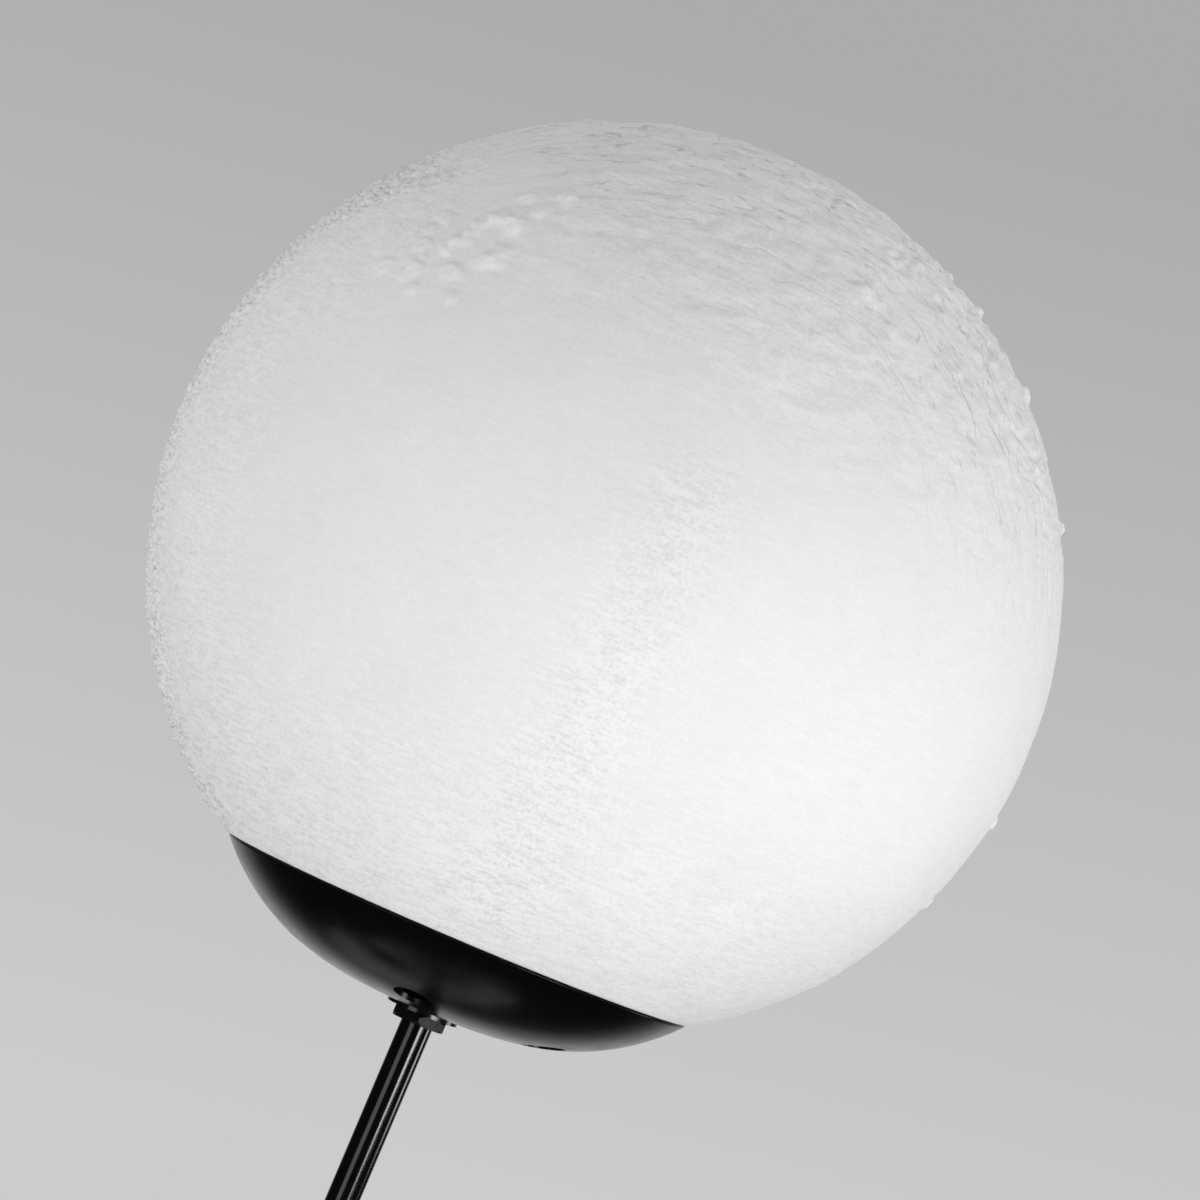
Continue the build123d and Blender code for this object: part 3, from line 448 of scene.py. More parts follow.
# Black zinc plating on turned steel: dark satin with a slightly cool cast.
BLACK_ZINC = Finish(
    name="black_zinc_plate",
    colour="#09090a",
    tint="#101012",
    roughness=0.2,
    grain_mm=0.5,
    depth_mm=0.008,
    patch_mm=4.0,
)
# Clear zinc on pressed steel: pale grey metal with fine drawing marks.
ZINC_STEEL = Brushed(
    name="zinc_plated_steel",
    colour="#b9b9b6",
    tint="#a7a8a8",
    roughness=0.34,
    metallic=1.0,
    patch_mm=6.0,
    depth_mm=0.006,
)
# Hardened spring strip: darker grey metal with lengthwise roll marks.
SPRING_STEEL = Brushed(
    name="rolled_spring_steel",
    colour="#9c9da0",
    tint="#87898d",
    roughness=0.28,
    metallic=1.0,
    depth_mm=0.005,
)
# Moulded polycarbonate collar: milky and satin.
COLLAR_PLASTIC = Finish(
    name="moulded_milky_polycarbonate",
    colour="#e6e6e4",
    tint="#dcdcda",
    roughness=0.38,
    ior=1.58,
    grain_mm=0.5,
    depth_mm=0.006,
    subsurface=0.2,
)
# Glazed steatite: warm ivory ceramic with a wet gloss and pinholes.
STEATITE = Cellular(
    name="glazed_steatite",
    colour="#e9e4d8",
    tint="#ddd6c6",
    roughness=0.18,
    ior=1.55,
    patch_mm=5.0,
    grain_mm=1.1,
    depth_mm=0.012,
    coat=0.5,
)
# Stamped brass: warm yellow metal with light handling marks.
BRASS = Brushed(
    name="stamped_brass",
    colour="#c9a557",
    tint="#b48f45",
    roughness=0.28,
    metallic=1.0,
    patch_mm=3.0,
    depth_mm=0.004,
)
# Moulded PBT of the bulb's housing: bright white with a low gloss.
BULB_HOUSING = Finish(
    name="moulded_white_pbt",
    colour="#efefed",
    tint="#e6e6e3",
    roughness=0.35,
    ior=1.55,
    grain_mm=0.4,
    depth_mm=0.006,
)
# Frosted cover of the bulb: etched white with a soft glow at the edges.
FROSTED_COVER = Finish(
    name="frosted_bulb_cover",
    colour="#f4f3ee",
    tint="#ecebe4",
    roughness=0.5,
    ior=1.49,
    grain_mm=0.3,
    depth_mm=0.008,
    subsurface=0.3,
    subsurface_mm=1.5,
)
# Extruded PVC sheath: dull black with faint drag lines.
FLEX = Brushed(
    name="extruded_pvc_sheath",
    colour="#151516",
    tint="#1d1d1f",
    roughness=0.55,
    ior=1.53,
    depth_mm=0.01,
)
# Sand-cast iron: dark grey, rough and mottled.
CAST_IRON = Cellular(
    name="sand_cast_iron",
    colour="#4b4b4d",
    tint="#3c3b3c",
    roughness=0.7,
    metallic=1.0,
    patch_mm=9.0,
    grain_mm=1.3,
    depth_mm=0.12,
)
# Closed-cell EVA foam: black and matte with small cells.
FOAM = Cellular(
    name="closed_cell_foam",
    colour="#161617",
    tint="#202022",
    roughness=0.86,
    grain_mm=0.9,
    depth_mm=0.08,
)
# Moulded EPDM rubber: black, dull, with a slightly dusty bloom.
GLAND_RUBBER = Finish(
    name="moulded_epdm_rubber",
    colour="#141415",
    tint="#1f1f20",
    roughness=0.62,
    ior=1.52,
    patch_mm=3.0,
    grain_mm=0.4,
    depth_mm=0.02,
)
# Moulded nylon of the terminal block: natural off-white with a waxy satin.
TERMINAL_NYLON = Finish(
    name="moulded_natural_nylon",
    colour="#e2dfd4",
    tint="#d6d2c5",
    roughness=0.45,
    ior=1.53,
    patch_mm=6.0,
    depth_mm=0.012,
)
# Cast resin with white satin paint: broad tone changes, soft grain, and painted grey shade in the folds.
SUIT_PAINT = Finish(
    name="white_painted_resin",
    colour="#ecebe8",
    tint="#dedcd8",
    roughness=0.46,
    patch_mm=14.0,
    grain_mm=0.7,
    depth_mm=0.035,
    crevice_shade="#8c8a88",
    crevice_shade_mm=4.0,
)
# Cast resin with mid-grey matte paint, for gauntlets and soles: a rubbery tooth.
GLOVE_PAINT = Finish(
    name="grey_painted_resin",
    colour="#8b8c90",
    tint="#7a7b7f",
    roughness=0.62,
    patch_mm=9.0,
    grain_mm=0.5,
    depth_mm=0.05,
    # Painted dark shade in the crevices, from ambient occlusion.
    crevice_shade="#3b3b3d",
    crevice_shade_mm=3.0,
)
# Cast resin with light metallic grey paint, for rings and packs: satin with fine flake.
TRIM_PAINT = Finish(
    name="satin_grey_painted_resin",
    colour="#a9abaf",
    tint="#999ba0",
    roughness=0.38,
    patch_mm=7.0,
    grain_mm=0.35,
    depth_mm=0.02,
    coat=0.25,
    coat_roughness=0.2,
    # Painted darker shade in the crevices, from ambient occlusion.
    crevice_shade="#55565a",
    crevice_shade_mm=2.5,
)
# Piano-black lacquer on the visor: deep black that mirrors the room, with hairline swirls.
VISOR_LACQUER = Finish(
    name="piano_black_lacquer",
    colour="#050506",
    tint="#0a0a0c",
    roughness=0.07,
    smudge=0.03,
    smudge_mm=11.0,
    grain_mm=3.0,
    depth_mm=0.003,
    coat=1.0,
    coat_roughness=0.03,
)
# Black satin paint on the small knobs.
KNOB_PAINT = Finish(
    name="black_satin_painted_resin",
    colour="#131315",
    tint="#1c1c1e",
    roughness=0.4,
    patch_mm=3.0,
    grain_mm=0.4,
    depth_mm=0.015,
)

SLOT_FINISHES: dict[str, Finish] = {
    "moon_print": MOON_PRINT,
    "black_enamel": BLACK_ENAMEL,
    "black_zinc": BLACK_ZINC,
    "zinc_steel": ZINC_STEEL,
    "spring_steel": SPRING_STEEL,
    "clear_collar": COLLAR_PLASTIC,
    "steatite": STEATITE,
    "contact_brass": BRASS,
    "bulb_housing": BULB_HOUSING,
    "frosted_cover": FROSTED_COVER,
    "flex": FLEX,
    "iron": CAST_IRON,
    "foam": FOAM,
    "gland_rubber": GLAND_RUBBER,
    "terminal_plastic": TERMINAL_NYLON,
    "suit_white": SUIT_PAINT,
    "glove_grey": GLOVE_PAINT,
    "trim_grey": TRIM_PAINT,
    "visor_black": VISOR_LACQUER,
    "knob_black": KNOB_PAINT,
}
NODE_FINISHES: dict[str, Finish] = {"stem_tube": TUBE_LACQUER}


class Palette:
    """Makes each finish's material once and puts it on pieces."""

    def __init__(self) -> None:
        """Start with no materials made."""
        self.made: dict[str, bpy.types.Material] = {}

    def paint(self, piece: bpy.types.Object, finish: Finish) -> None:
        """Give a piece a finish.

        Args:
            piece: The mesh object to paint.
            finish: The finish that it gets.
        """
        if finish.name not in self.made:
            self.made[finish.name] = finish.material()
        piece.data.materials.clear()
        piece.data.materials.append(self.made[finish.name])

    def paint_nodes(self) -> None:
        """Give every CAD node its own finish, or else that of its material slot."""
        for part in frame["record"]["subparts"]:
            node = part["node"]
            self.paint(frame["nodes"][node], NODE_FINISHES.get(node, SLOT_FINISHES[part["material_slot"]]))


def new_piece(
    name: str, mesh: bpy.types.Mesh, slot: str, palette: Palette, nodes: list[str]
) -> bpy.types.Object:
    """Put a mesh in the scene as a piece that stands for CAD nodes.

    Args:
        name: The piece's name.
        mesh: Its mesh, in the shared frame.
        slot: The record's material slot for its finish.
        palette: The materials made so far.
        nodes: The CAD nodes that it stands for.

    Returns:
        The new object.
    """
    piece = bpy.data.objects.new(name, mesh)
    bpy.context.scene.collection.objects.link(piece)
    mesh.polygons.foreach_set("use_smooth", [True] * len(mesh.polygons))
    palette.paint(piece, SLOT_FINISHES[slot])
    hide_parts(*nodes)
    LOG.info("%s: %d faces for %s", name, len(mesh.polygons), ", ".join(nodes))
    return piece


class Zone(Enum):
    """The zones of the globe's surface, as seen from the front."""

    ALL = "all of it"
    CROWN = "top and upper right"
    PLAIN = "smooth patch at the top"
    BROKEN = "crown less the smooth patch"
    EDGE = "left outline"
    FLANK = "left side"
    CRACKED = "upper right side"
    RIM = "upper right outline"
    PITS = "band of fine pits"
    LOW = "near the mouth"
    BEHIND = "far side"


Shares = dict[Zone, np.ndarray]
Weights = dict[Zone, float]
Span = tuple[float, float]
Triple = tuple[float, float, float]

# Heights of the globe's relief in millimetres, by zone.
STROKE_HEIGHTS: Weights = {Zone.ALL: 0.06, Zone.BROKEN: 0.5, Zone.LOW: 0.16}
FOLD_DEPTHS: Weights = {Zone.BROKEN: 0.5}
CRACK_DEPTHS: Weights = {Zone.CRACKED: 0.5}
CRUST_HEIGHTS: Weights = {Zone.ALL: 0.06, Zone.CROWN: 0.16, Zone.FLANK: 0.1}
SUGAR_HEIGHTS: Weights = {
    Zone.ALL: 0.05,
    Zone.EDGE: 1.1,
    Zone.FLANK: 0.2,
    Zone.CROWN: 0.06,
    Zone.PITS: 0.22,
}
CRATER_HEIGHTS: Weights = {Zone.ALL: 0.12, Zone.BEHIND: 1.4}
# Strength of the material's strokes and grains, by zone.
PRINT_STRENGTHS: Weights = {
    Zone.ALL: 0.16,
    Zone.EDGE: 1.3,
    Zone.FLANK: 0.4,
    Zone.BROKEN: 0.5,
    Zone.PITS: 0.5,
    Zone.LOW: 0.35,
    Zone.BEHIND: 0.25,
}


def weigh(zones: Shares, weights: Weights) -> np.ndarray:
    """Add up zones, each times its weight.

    Args:
        zones: How much each direction belongs to each zone, from 0 to 1.
        weights: The zones that count, and how much.

    Returns:
        One number for each direction.
    """
    return sum(weight * zones[zone] for zone, weight in weights.items())


def waves(spots: np.ndarray) -> np.ndarray:
    """Return smooth noise at each row of a table of places."""
    return np.array([noise.noise(spot) for spot in spots])


def layered_waves(spots: np.ndarray, fall: float, step: float, layers: int) -> np.ndarray:
    """Return noise with finer layers on it at each place.

    Args:
        spots: The places, one row each.
        fall: How fast the layers get weaker.
        step: How many times finer each layer is than the last.
        layers: How many layers there are.

    Returns:
        One number for each place.
    """
    return np.array([noise.fractal(spot, fall, step, layers) for spot in spots])


@dataclass(frozen=True)
class Lump:
    """A low lump on the globe.

    The two shares run from the globe's middle to its edge in the camera's picture: to the right and up.
    """

    across: float
    up: float
    radius_mm: float
    height_mm: float


@dataclass
class Moon:
    """The printed globe: a hollow shell with strokes, folds, cracks, lumps, grains and craters.

    A span is the two values between which a zone fades in. Places in the picture are shares of the
    globe's radius.
    """

    radius_mm: float = 110.0
    wall_mm: float = 2.4
    mouth_mm: float = 61.5
    lip_mm: float = 0.9
    # Outward and upward steps of the lip's two rings, in lip heights.
    lip_rings: tuple[Span, Span] = ((0.1, 0.3), (-0.8, 0.0))
    fade_mm: float = 7.0
    frequency: int = 82
    inner_rings: int = 12

    # Where the zones lie. A way is the direction, to the right and up, in which a zone grows stronger.
    left_span: Span = (0.2, 0.5)
    right_way: Span = (0.62, 0.78)
    right_span: Span = (0.3, 0.8)
    crown_way: Span = (0.5, 0.87)
    crown_span: Span = (0.3, 0.85)
    plain_spot: Span = (-0.2, 0.86)
    plain_size: float = 0.16
    edge_start: float = 0.945
    edge_fade: float = 0.045
    edge_more: float = 0.09
    edge_more_span: Span = (0.74, 0.93)
    flank_span: Span = (0.7, 0.95)
    crack_span: Span = (0.55, 0.9)
    rim_span: Span = (0.9, 0.96)
    pit_band: tuple[Span, Span] = ((0.18, 0.15), (-0.23, -0.66))
    pit_band_width: float = 0.09
    low_span: Span = (0.25, 0.8)
    behind_span: Span = (-0.1, 0.4)
    # How much the cracks weaken the strokes and grains between them.
    crack_calm: float = 0.25

    # Where the ball is divided once more: a zone's share, radii from a lump, and how far to the back.
    fine_share: float = 0.3
    fine_reach: float = 1.8
    fine_back: float = 0.04

    # Sizes of the relief's patterns. A bend sways strokes, folds and cracks from side to side.
    broad_mm: float = 36.0
    broad_height_mm: float = 0.4
    bend_mm: float = 24.0
    bend: Triple = (0.7, 0.7, 2.6)
    stroke_mm: Triple = (10.0, 10.0, 2.6)
    fold_mm: Triple = (19.0, 19.0, 5.0)
    fold_width: float = 0.11
    crack_mm: Triple = (17.0, 3.6, 17.0)
    crack_bend: float = 0.8
    crack_width: float = 0.12
    crust_mm: float = 6.5
    sugar_mm: float = 1.15

    # Craters: depths are shares of a crater's size, and wear, floor and rim are shares of its depth.
    seed: int = 11
    crater_count: int = 620
    smallest_crater_mm: float = 1.6
    largest_crater_mm: float = 11.0
    crater_power: float = 2.1
    crater_depth: float = 0.09
    least_depth_mm: float = 0.1
    crater_wear: Span = (0.6, 1.0)
    crater_reach: float = 1.9
    crater_floor: float = 0.6
    rim_height: float = 0.55
    rim_width: float = 0.22

    # What makes the lumps uneven.
    knob_mm: float = 3.4
    lump_uneven: float = 0.5
    lump_steepness: int = 6
    lump_crust: float = 0.6
    # Old crater rim at the upper left, then single lumps at the upper right and chips along the right edge.
    lumps: tuple[Lump, ...] = (
        Lump(-0.349, 0.787, 2.4, 0.65),
        Lump(-0.386, 0.761, 2.0, 0.65),
        Lump(-0.399, 0.728, 2.2, 0.73),
        Lump(-0.412, 0.697, 2.4, 0.73),
        Lump(-0.428, 0.667, 2.6, 0.65),
        Lump(-0.425, 0.632, 2.0, 0.56),
        Lump(-0.480, 0.684, 2.2, 0.56),
        Lump(-0.336, 0.614, 1.8, 0.56),
        Lump(-0.333, 0.671, 2.6, 0.65),
        Lump(-0.346, 0.724, 2.4, 0.65),
        Lump(-0.316, 0.739, 2.6, 0.73),
        Lump(-0.287, 0.757, 2.8, 0.81),
        Lump(-0.263, 0.778, 3.0, 0.81),
        Lump(-0.224, 0.785, 3.0, 0.81),
        Lump(-0.202, 0.765, 2.6, 0.73),
        Lump(-0.239, 0.702, 3.6, 0.89),
        Lump(-0.268, 0.691, 3.0, 0.73),
        Lump(-0.180, 0.768, 2.0, 0.56),
        Lump(-0.140, 0.803, 2.4, 0.73),
        Lump(-0.081, 0.831, 2.2, 0.73),
        Lump(-0.169, 0.827, 2.0, 0.56),
        Lump(0.572, 0.616, 3.2, 1.08),
        Lump(0.603, 0.673, 4.2, 0.68),
        Lump(0.752, 0.660, 1.7, 0.68),
        Lump(0.815, 0.580, 1.8, 1.02),
        Lump(0.915, 0.403, 1.9, 1.02),
        Lump(0.994, 0.110, 1.6, 1.02),
        Lump(0.845, -0.535, 2.0, 0.77),
        Lump(0.704, -0.710, 2.2, 0.68),
    )

    def directions(self) -> tuple[np.ndarray, np.ndarray]:
        """Divide an icosahedron's faces evenly and push the points out to a unit ball.

        Returns:
            The points, one row each, and the triangles as rows of point numbers.
        """
        seed = bmesh.new()
        bmesh.ops.create_icosphere(seed, subdivisions=1, radius=1.0)
        corners = np.array([list(v.co) for v in seed.verts])
        sides = [[v.index for v in f.verts] for f in seed.faces]
        seed.free()
        count = self.frequency
        rows = [(i, j) for i in range(count + 1) for j in range(count + 1 - i)]
        number = {row: index for index, row in enumerate(rows)}
        shares = np.array([(count - i - j, i, j) for i, j in rows]) / count
        cells = [(number[i, j], number[i + 1, j], number[i, j + 1]) for i, j in rows if i + j < count]
        cells += [
            (number[i + 1, j], number[i + 1, j + 1], number[i, j + 1])
            for i, j in rows
            if i + j < count - 1
        ]
        cells = np.array(cells)
        points = np.concatenate([shares @ corners[side] for side in sides])
        faces = np.concatenate([cells + index * len(rows) for index in range(len(sides))])
        keys = np.round(points, 6)
        _, first, same = np.unique(keys, axis=0, return_index=True, return_inverse=True)
        points = points[first]
        points /= np.linalg.norm(points, axis=1, keepdims=True)
        return points, same.reshape(-1)[faces]

    def mouth_level(self) -> float:
        """Return how high the mouth is over the globe's middle, which is below zero."""
        return -math.sqrt(self.radius_mm**2 - self.mouth_mm**2)

    def craters(self, ways: np.ndarray) -> np.ndarray:
        """Return the height of all the craters: bowls with raised rims, many small and few large.

        Args:
            ways: Unit directions, one row each.

        Returns:
            A height in millimetres for each direction.
        """
        draw = np.random.default_rng(self.seed)
        height = np.zeros(len(ways))
        for _ in range(self.crater_count):
            middle = draw.normal(size=3)
            middle /= np.linalg.norm(middle)
            size = self.smallest_crater_mm * (1.0 - draw.random()) ** (-1.0 / self.crater_power)
            size = min(size, self.largest_crater_mm)
            depth = self.crater_depth * size + self.least_depth_mm
            sharp = draw.uniform(*self.crater_wear)
            near = ways @ middle
            inside = near > math.cos(self.crater_reach * size / self.radius_mm)
            reach = np.arccos(np.clip(near[inside], -1.0, 1.0)) * self.radius_mm / size
            bowl = np.where(reach < 1.0, -depth * (1.0 - reach**2), 0.0)
            rim = self.rim_height * depth * np.exp(-(((reach - 1.0) / self.rim_width) ** 2))
            height[inside] += sharp * (np.maximum(bowl, -self.crater_floor * depth) + rim)
        return height

    def zones(self, ways: np.ndarray) -> Shares:
        """Say how much each direction belongs to each zone.

        Args:
            ways: Unit directions in the globe's own frame, one row each.

        Returns:
            Shares from 0 to 1 by zone.
        """
        across, away, up = (ways @ TURN.T).T
        out = np.hypot(across, up)
        left = smooth(*self.left_span, -across)
        right = smooth(*self.right_span, self.right_way[0] * across + self.right_way[1] * up)
        edge = out - self.edge_start + self.edge_more * smooth(*self.edge_more_span, up)
        off_plain = (across - self.plain_spot[0]) ** 2 + (up - self.plain_spot[1]) ** 2
        start, end = (np.array(point) for point in self.pit_band)
        spots = np.stack([across, up], axis=1) - start
        run = end - start
        share = np.clip(spots @ run / (run @ run), 0.0, 1.0)
        off_band = np.linalg.norm(spots - share[:, None] * run, axis=1)
        zones = {
            Zone.ALL: np.ones(len(ways)),
            Zone.CROWN: smooth(*self.crown_span, self.crown_way[0] * across + self.crown_way[1] * up),
            Zone.PLAIN: np.exp(-off_plain / self.plain_size**2),
            Zone.EDGE: left * smooth(0.0, self.edge_fade, edge),
            Zone.FLANK: left * smooth(*self.flank_span, out),
            Zone.CRACKED: right * smooth(*self.crack_span, out),
            Zone.RIM: right * smooth(*self.rim_span, out),
            Zone.PITS: np.exp(-((off_band / self.pit_band_width) ** 2)) * (away < 0.0),
            Zone.LOW: smooth(*self.low_span, -ways[:, 2]),
            Zone.BEHIND: smooth(*self.behind_span, away),
        }
        zones[Zone.BROKEN] = zones[Zone.CROWN] * (1.0 - zones[Zone.PLAIN])
        return zones

    def print_zones(self, ways: np.ndarray) -> np.ndarray:
        """Return how strong the print's strokes and grains are, and its cracks.

        Args:
            ways: Unit directions in the globe's own frame, one row each.

        Returns:
            A colour for each direction: strokes and grains in red, cracks in green.
        """
        zones = self.zones(ways)
        cracks = zones[Zone.CRACKED]
        colours = np.ones((len(ways), 4))
        colours[:, 0] = weigh(zones, PRINT_STRENGTHS) - self.crack_calm * zones[Zone.BROKEN] * cracks
        colours[:, 1] = cracks
        colours[:, 2] = 0.0
        return colours

    def lump_reaches(self, turned: np.ndarray) -> list[np.ndarray]:
        """Return how far each direction is from each lump's middle, in radii of that lump.

        Args:
            turned: Unit directions in the shared frame, one row each.

        Returns:
            One array for each lump, in the lumps' order.
        """
        reaches = []
        for lump in self.lumps:
            # The globe's front is nearer to the camera than its outline, so it looks larger.
            bulge = math.sqrt(max(1.0 - lump.across**2 - lump.up**2, 0.0))
            share = 1.0 - bulge * self.radius_mm * MM / CAMERA_FAR
            across, up = lump.across * share, lump.up * share
            depth = math.sqrt(max(1.0 - across**2 - up**2, 0.0))
            middle = np.array(Vector((across, -depth, up)).normalized())
            away = np.arccos(np.clip(turned @ middle, -1.0, 1.0))
            reaches.append(away * self.radius_mm / lump.radius_mm)
        return reaches

    def refine(self, work: bmesh.types.BMesh) -> None:
        """Divide the ball's faces once more at the lumps, the left edge and the right rim.

        Args:
            work: The unit ball, which is changed.
        """
        ways = np.array([face.calc_center_median().normalized()[:] for face in work.faces])
        turned = ways @ TURN.T
        zones = self.zones(ways)
        outline = np.maximum(zones[Zone.EDGE], zones[Zone.RIM]) > self.fine_share
        wanted = outline & (turned[:, 1] < self.fine_back)
        wanted |= np.min(self.lump_reaches(turned), axis=0) < self.fine_reach
        faces = [face for face, take in zip(list(work.faces), wanted) if take]
        # A dict keeps each edge once and in the same order in every run, which a set doesn't.
        edges = dict.fromkeys(edge for face in faces for edge in face.edges)
        bmesh.ops.subdivide_edges(work, edges=list(edges), cuts=1, use_grid_fill=True)
        bmesh.ops.triangulate(work, faces=[face for face in work.faces if len(face.verts) > 3])

    def relief(self, ways: np.ndarray) -> np.ndarray:
        """Return the height of the moon's surface over the plain ball.

        Args:
            ways: Unit directions in the globe's own frame, one row each.

        Returns:
            A height in millimetres for each direction.
        """
        zones = self.zones(ways)
        turned = ways @ TURN.T
        spots = ways * self.radius_mm

        broad = layered_waves(spots / self.broad_mm, 1.0, 2.0, 3)
        bent = waves(spots / self.bend_mm)[:, None] * np.array(self.bend)
        strokes = layered_waves(spots / self.stroke_mm + bent, 0.8, 2.0, 3)
        folds = waves(spots / self.fold_mm + bent)
        cracks = waves(turned * self.radius_mm / self.crack_mm + self.crack_bend * bent)
        crust = layered_waves(spots / self.crust_mm, 0.7, 2.1, 4)
        sugar = waves(spots / self.sugar_mm)
        knobs = waves(spots / self.knob_mm)

        height = self.broad_height_mm * broad + weigh(zones, STROKE_HEIGHTS) * strokes
        height -= weigh(zones, FOLD_DEPTHS) * (1.0 - smooth(0.0, self.fold_width, np.abs(folds)))
        height -= weigh(zones, CRACK_DEPTHS) * (1.0 - smooth(0.0, self.crack_width, np.abs(cracks)))
        height += weigh(zones, CRUST_HEIGHTS) * (1.0 - zones[Zone.PLAIN]) * crust
        height += weigh(zones, SUGAR_HEIGHTS) * sugar
        height += weigh(zones, CRATER_HEIGHTS) * self.craters(ways)
        for lump, reach in zip(self.lumps, self.lump_reaches(turned)):
            uneven = reach * (1.0 + self.lump_uneven * knobs)
            lumpy = np.exp(-(uneven**self.lump_steepness)) * (1.0 + self.lump_crust * crust)
            height += lump.height_mm * lumpy
        return height * smooth(0.0, self.fade_mm, spots[:, 2] - self.mouth_level())

    def close(self, work: bmesh.types.BMesh) -> None:
        """Cut the ball off at its mouth and close it with a rounded lip and a plain inner wall.

        Args:
            work: The ball with its relief, in millimetres, which is changed.
        """
        floor = self.mouth_level()
        bmesh.ops.bisect_plane(
            work,
            geom=work.verts[:] + work.edges[:] + work.faces[:],
            plane_co=(0.0, 0.0, floor + self.lip_mm),
            plane_no=(0.0, 0.0, -1.0),
            clear_outer=True,
        )
        loop = [edge for edge in work.edges if edge.is_boundary]
        inner = self.radius_mm - self.wall_mm
        start = math.acos(floor / inner)
        rings = [
            (self.mouth_mm + outward * self.lip_mm, floor + upward * self.lip_mm)
            for outward, upward in self.lip_rings
        ]
        for index in range(self.inner_rings):
            turn = start * (1.0 - index / self.inner_rings)
            rings.append((inner * math.sin(turn), inner * math.cos(turn)))
        for radius, level in rings:
            made = bmesh.ops.extrude_edge_only(work, edges=loop)["geom"]
            loop = [item for item in made if isinstance(item, bmesh.types.BMEdge)]
            for vertex in (item for item in made if isinstance(item, bmesh.types.BMVert)):
                flat = Vector((vertex.co.x, vertex.co.y, 0.0)).normalized() * radius
                vertex.co = (flat.x, flat.y, level)
        top = bmesh.ops.extrude_edge_only(work, edges=loop)["geom"]
        ends = [item for item in top if isinstance(item, bmesh.types.BMVert)]
        bmesh.ops.pointmerge(work, verts=ends, merge_co=(0.0, 0.0, inner))
        bmesh.ops.recalc_face_normals(work, faces=work.faces[:])

    def shell(self) -> bpy.types.Mesh:
        """Build the closed shell with its relief and its field of print zones.

        Returns:
            The mesh, in metres, about the globe's middle with its mouth towards the stem.
        """
        ways, faces = self.directions()
        ball = bpy.data.meshes.new("moon_ball")
        ball.from_pydata(ways.tolist(), [], faces.tolist())
        work = bmesh.new()
        work.from_mesh(ball)
        bpy.data.meshes.remove(ball)
        self.refine(work)
        ways = np.array([vertex.co.normalized()[:] for vertex in work.verts])
        for vertex, spot in zip(work.verts, ways * (self.radius_mm + self.relief(ways))[:, None]):
            vertex.co = spot
        self.close(work)
        bmesh.ops.scale(work, vec=(MM, MM, MM), verts=work.verts[:])
        mesh = bpy.data.meshes.new("moon_shell")
        work.to_mesh(mesh)
        work.free()
        spots = np.zeros(len(mesh.vertices) * 3)
        mesh.vertices.foreach_get("co", spots)
        spots = spots.reshape(-1, 3)
        colours = self.print_zones(spots / np.linalg.norm(spots, axis=1, keepdims=True))
        field = mesh.attributes.new(ZONE_FIELD, "FLOAT_COLOR", "POINT")
        field.data.foreach_set("color", colours.ravel())
        mesh.transform(TILT.to_matrix().to_4x4())
        return mesh

    def build(self, palette: Palette) -> None:
        """Put the shell where the CAD globe is.

        Args:
            palette: The materials made so far.
        """
        low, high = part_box("moon_globe")
        radius = self.radius_mm * MM
        piece = new_piece("moon_shell", self.shell(), "moon_print", palette, ["moon_globe"])
        piece.location = (high.x - radius, (low.y + high.y) / 2, high.z - radius)
        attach(piece, Body.GLOBE.value)


@dataclass(frozen=True)
class SoftPiece:
    """A moulded suit piece that gets folds: its CAD node, its finish slot and how deep the folds are."""

    node: str
    slot: str
    fold_mm: float
    voxel_mm: float


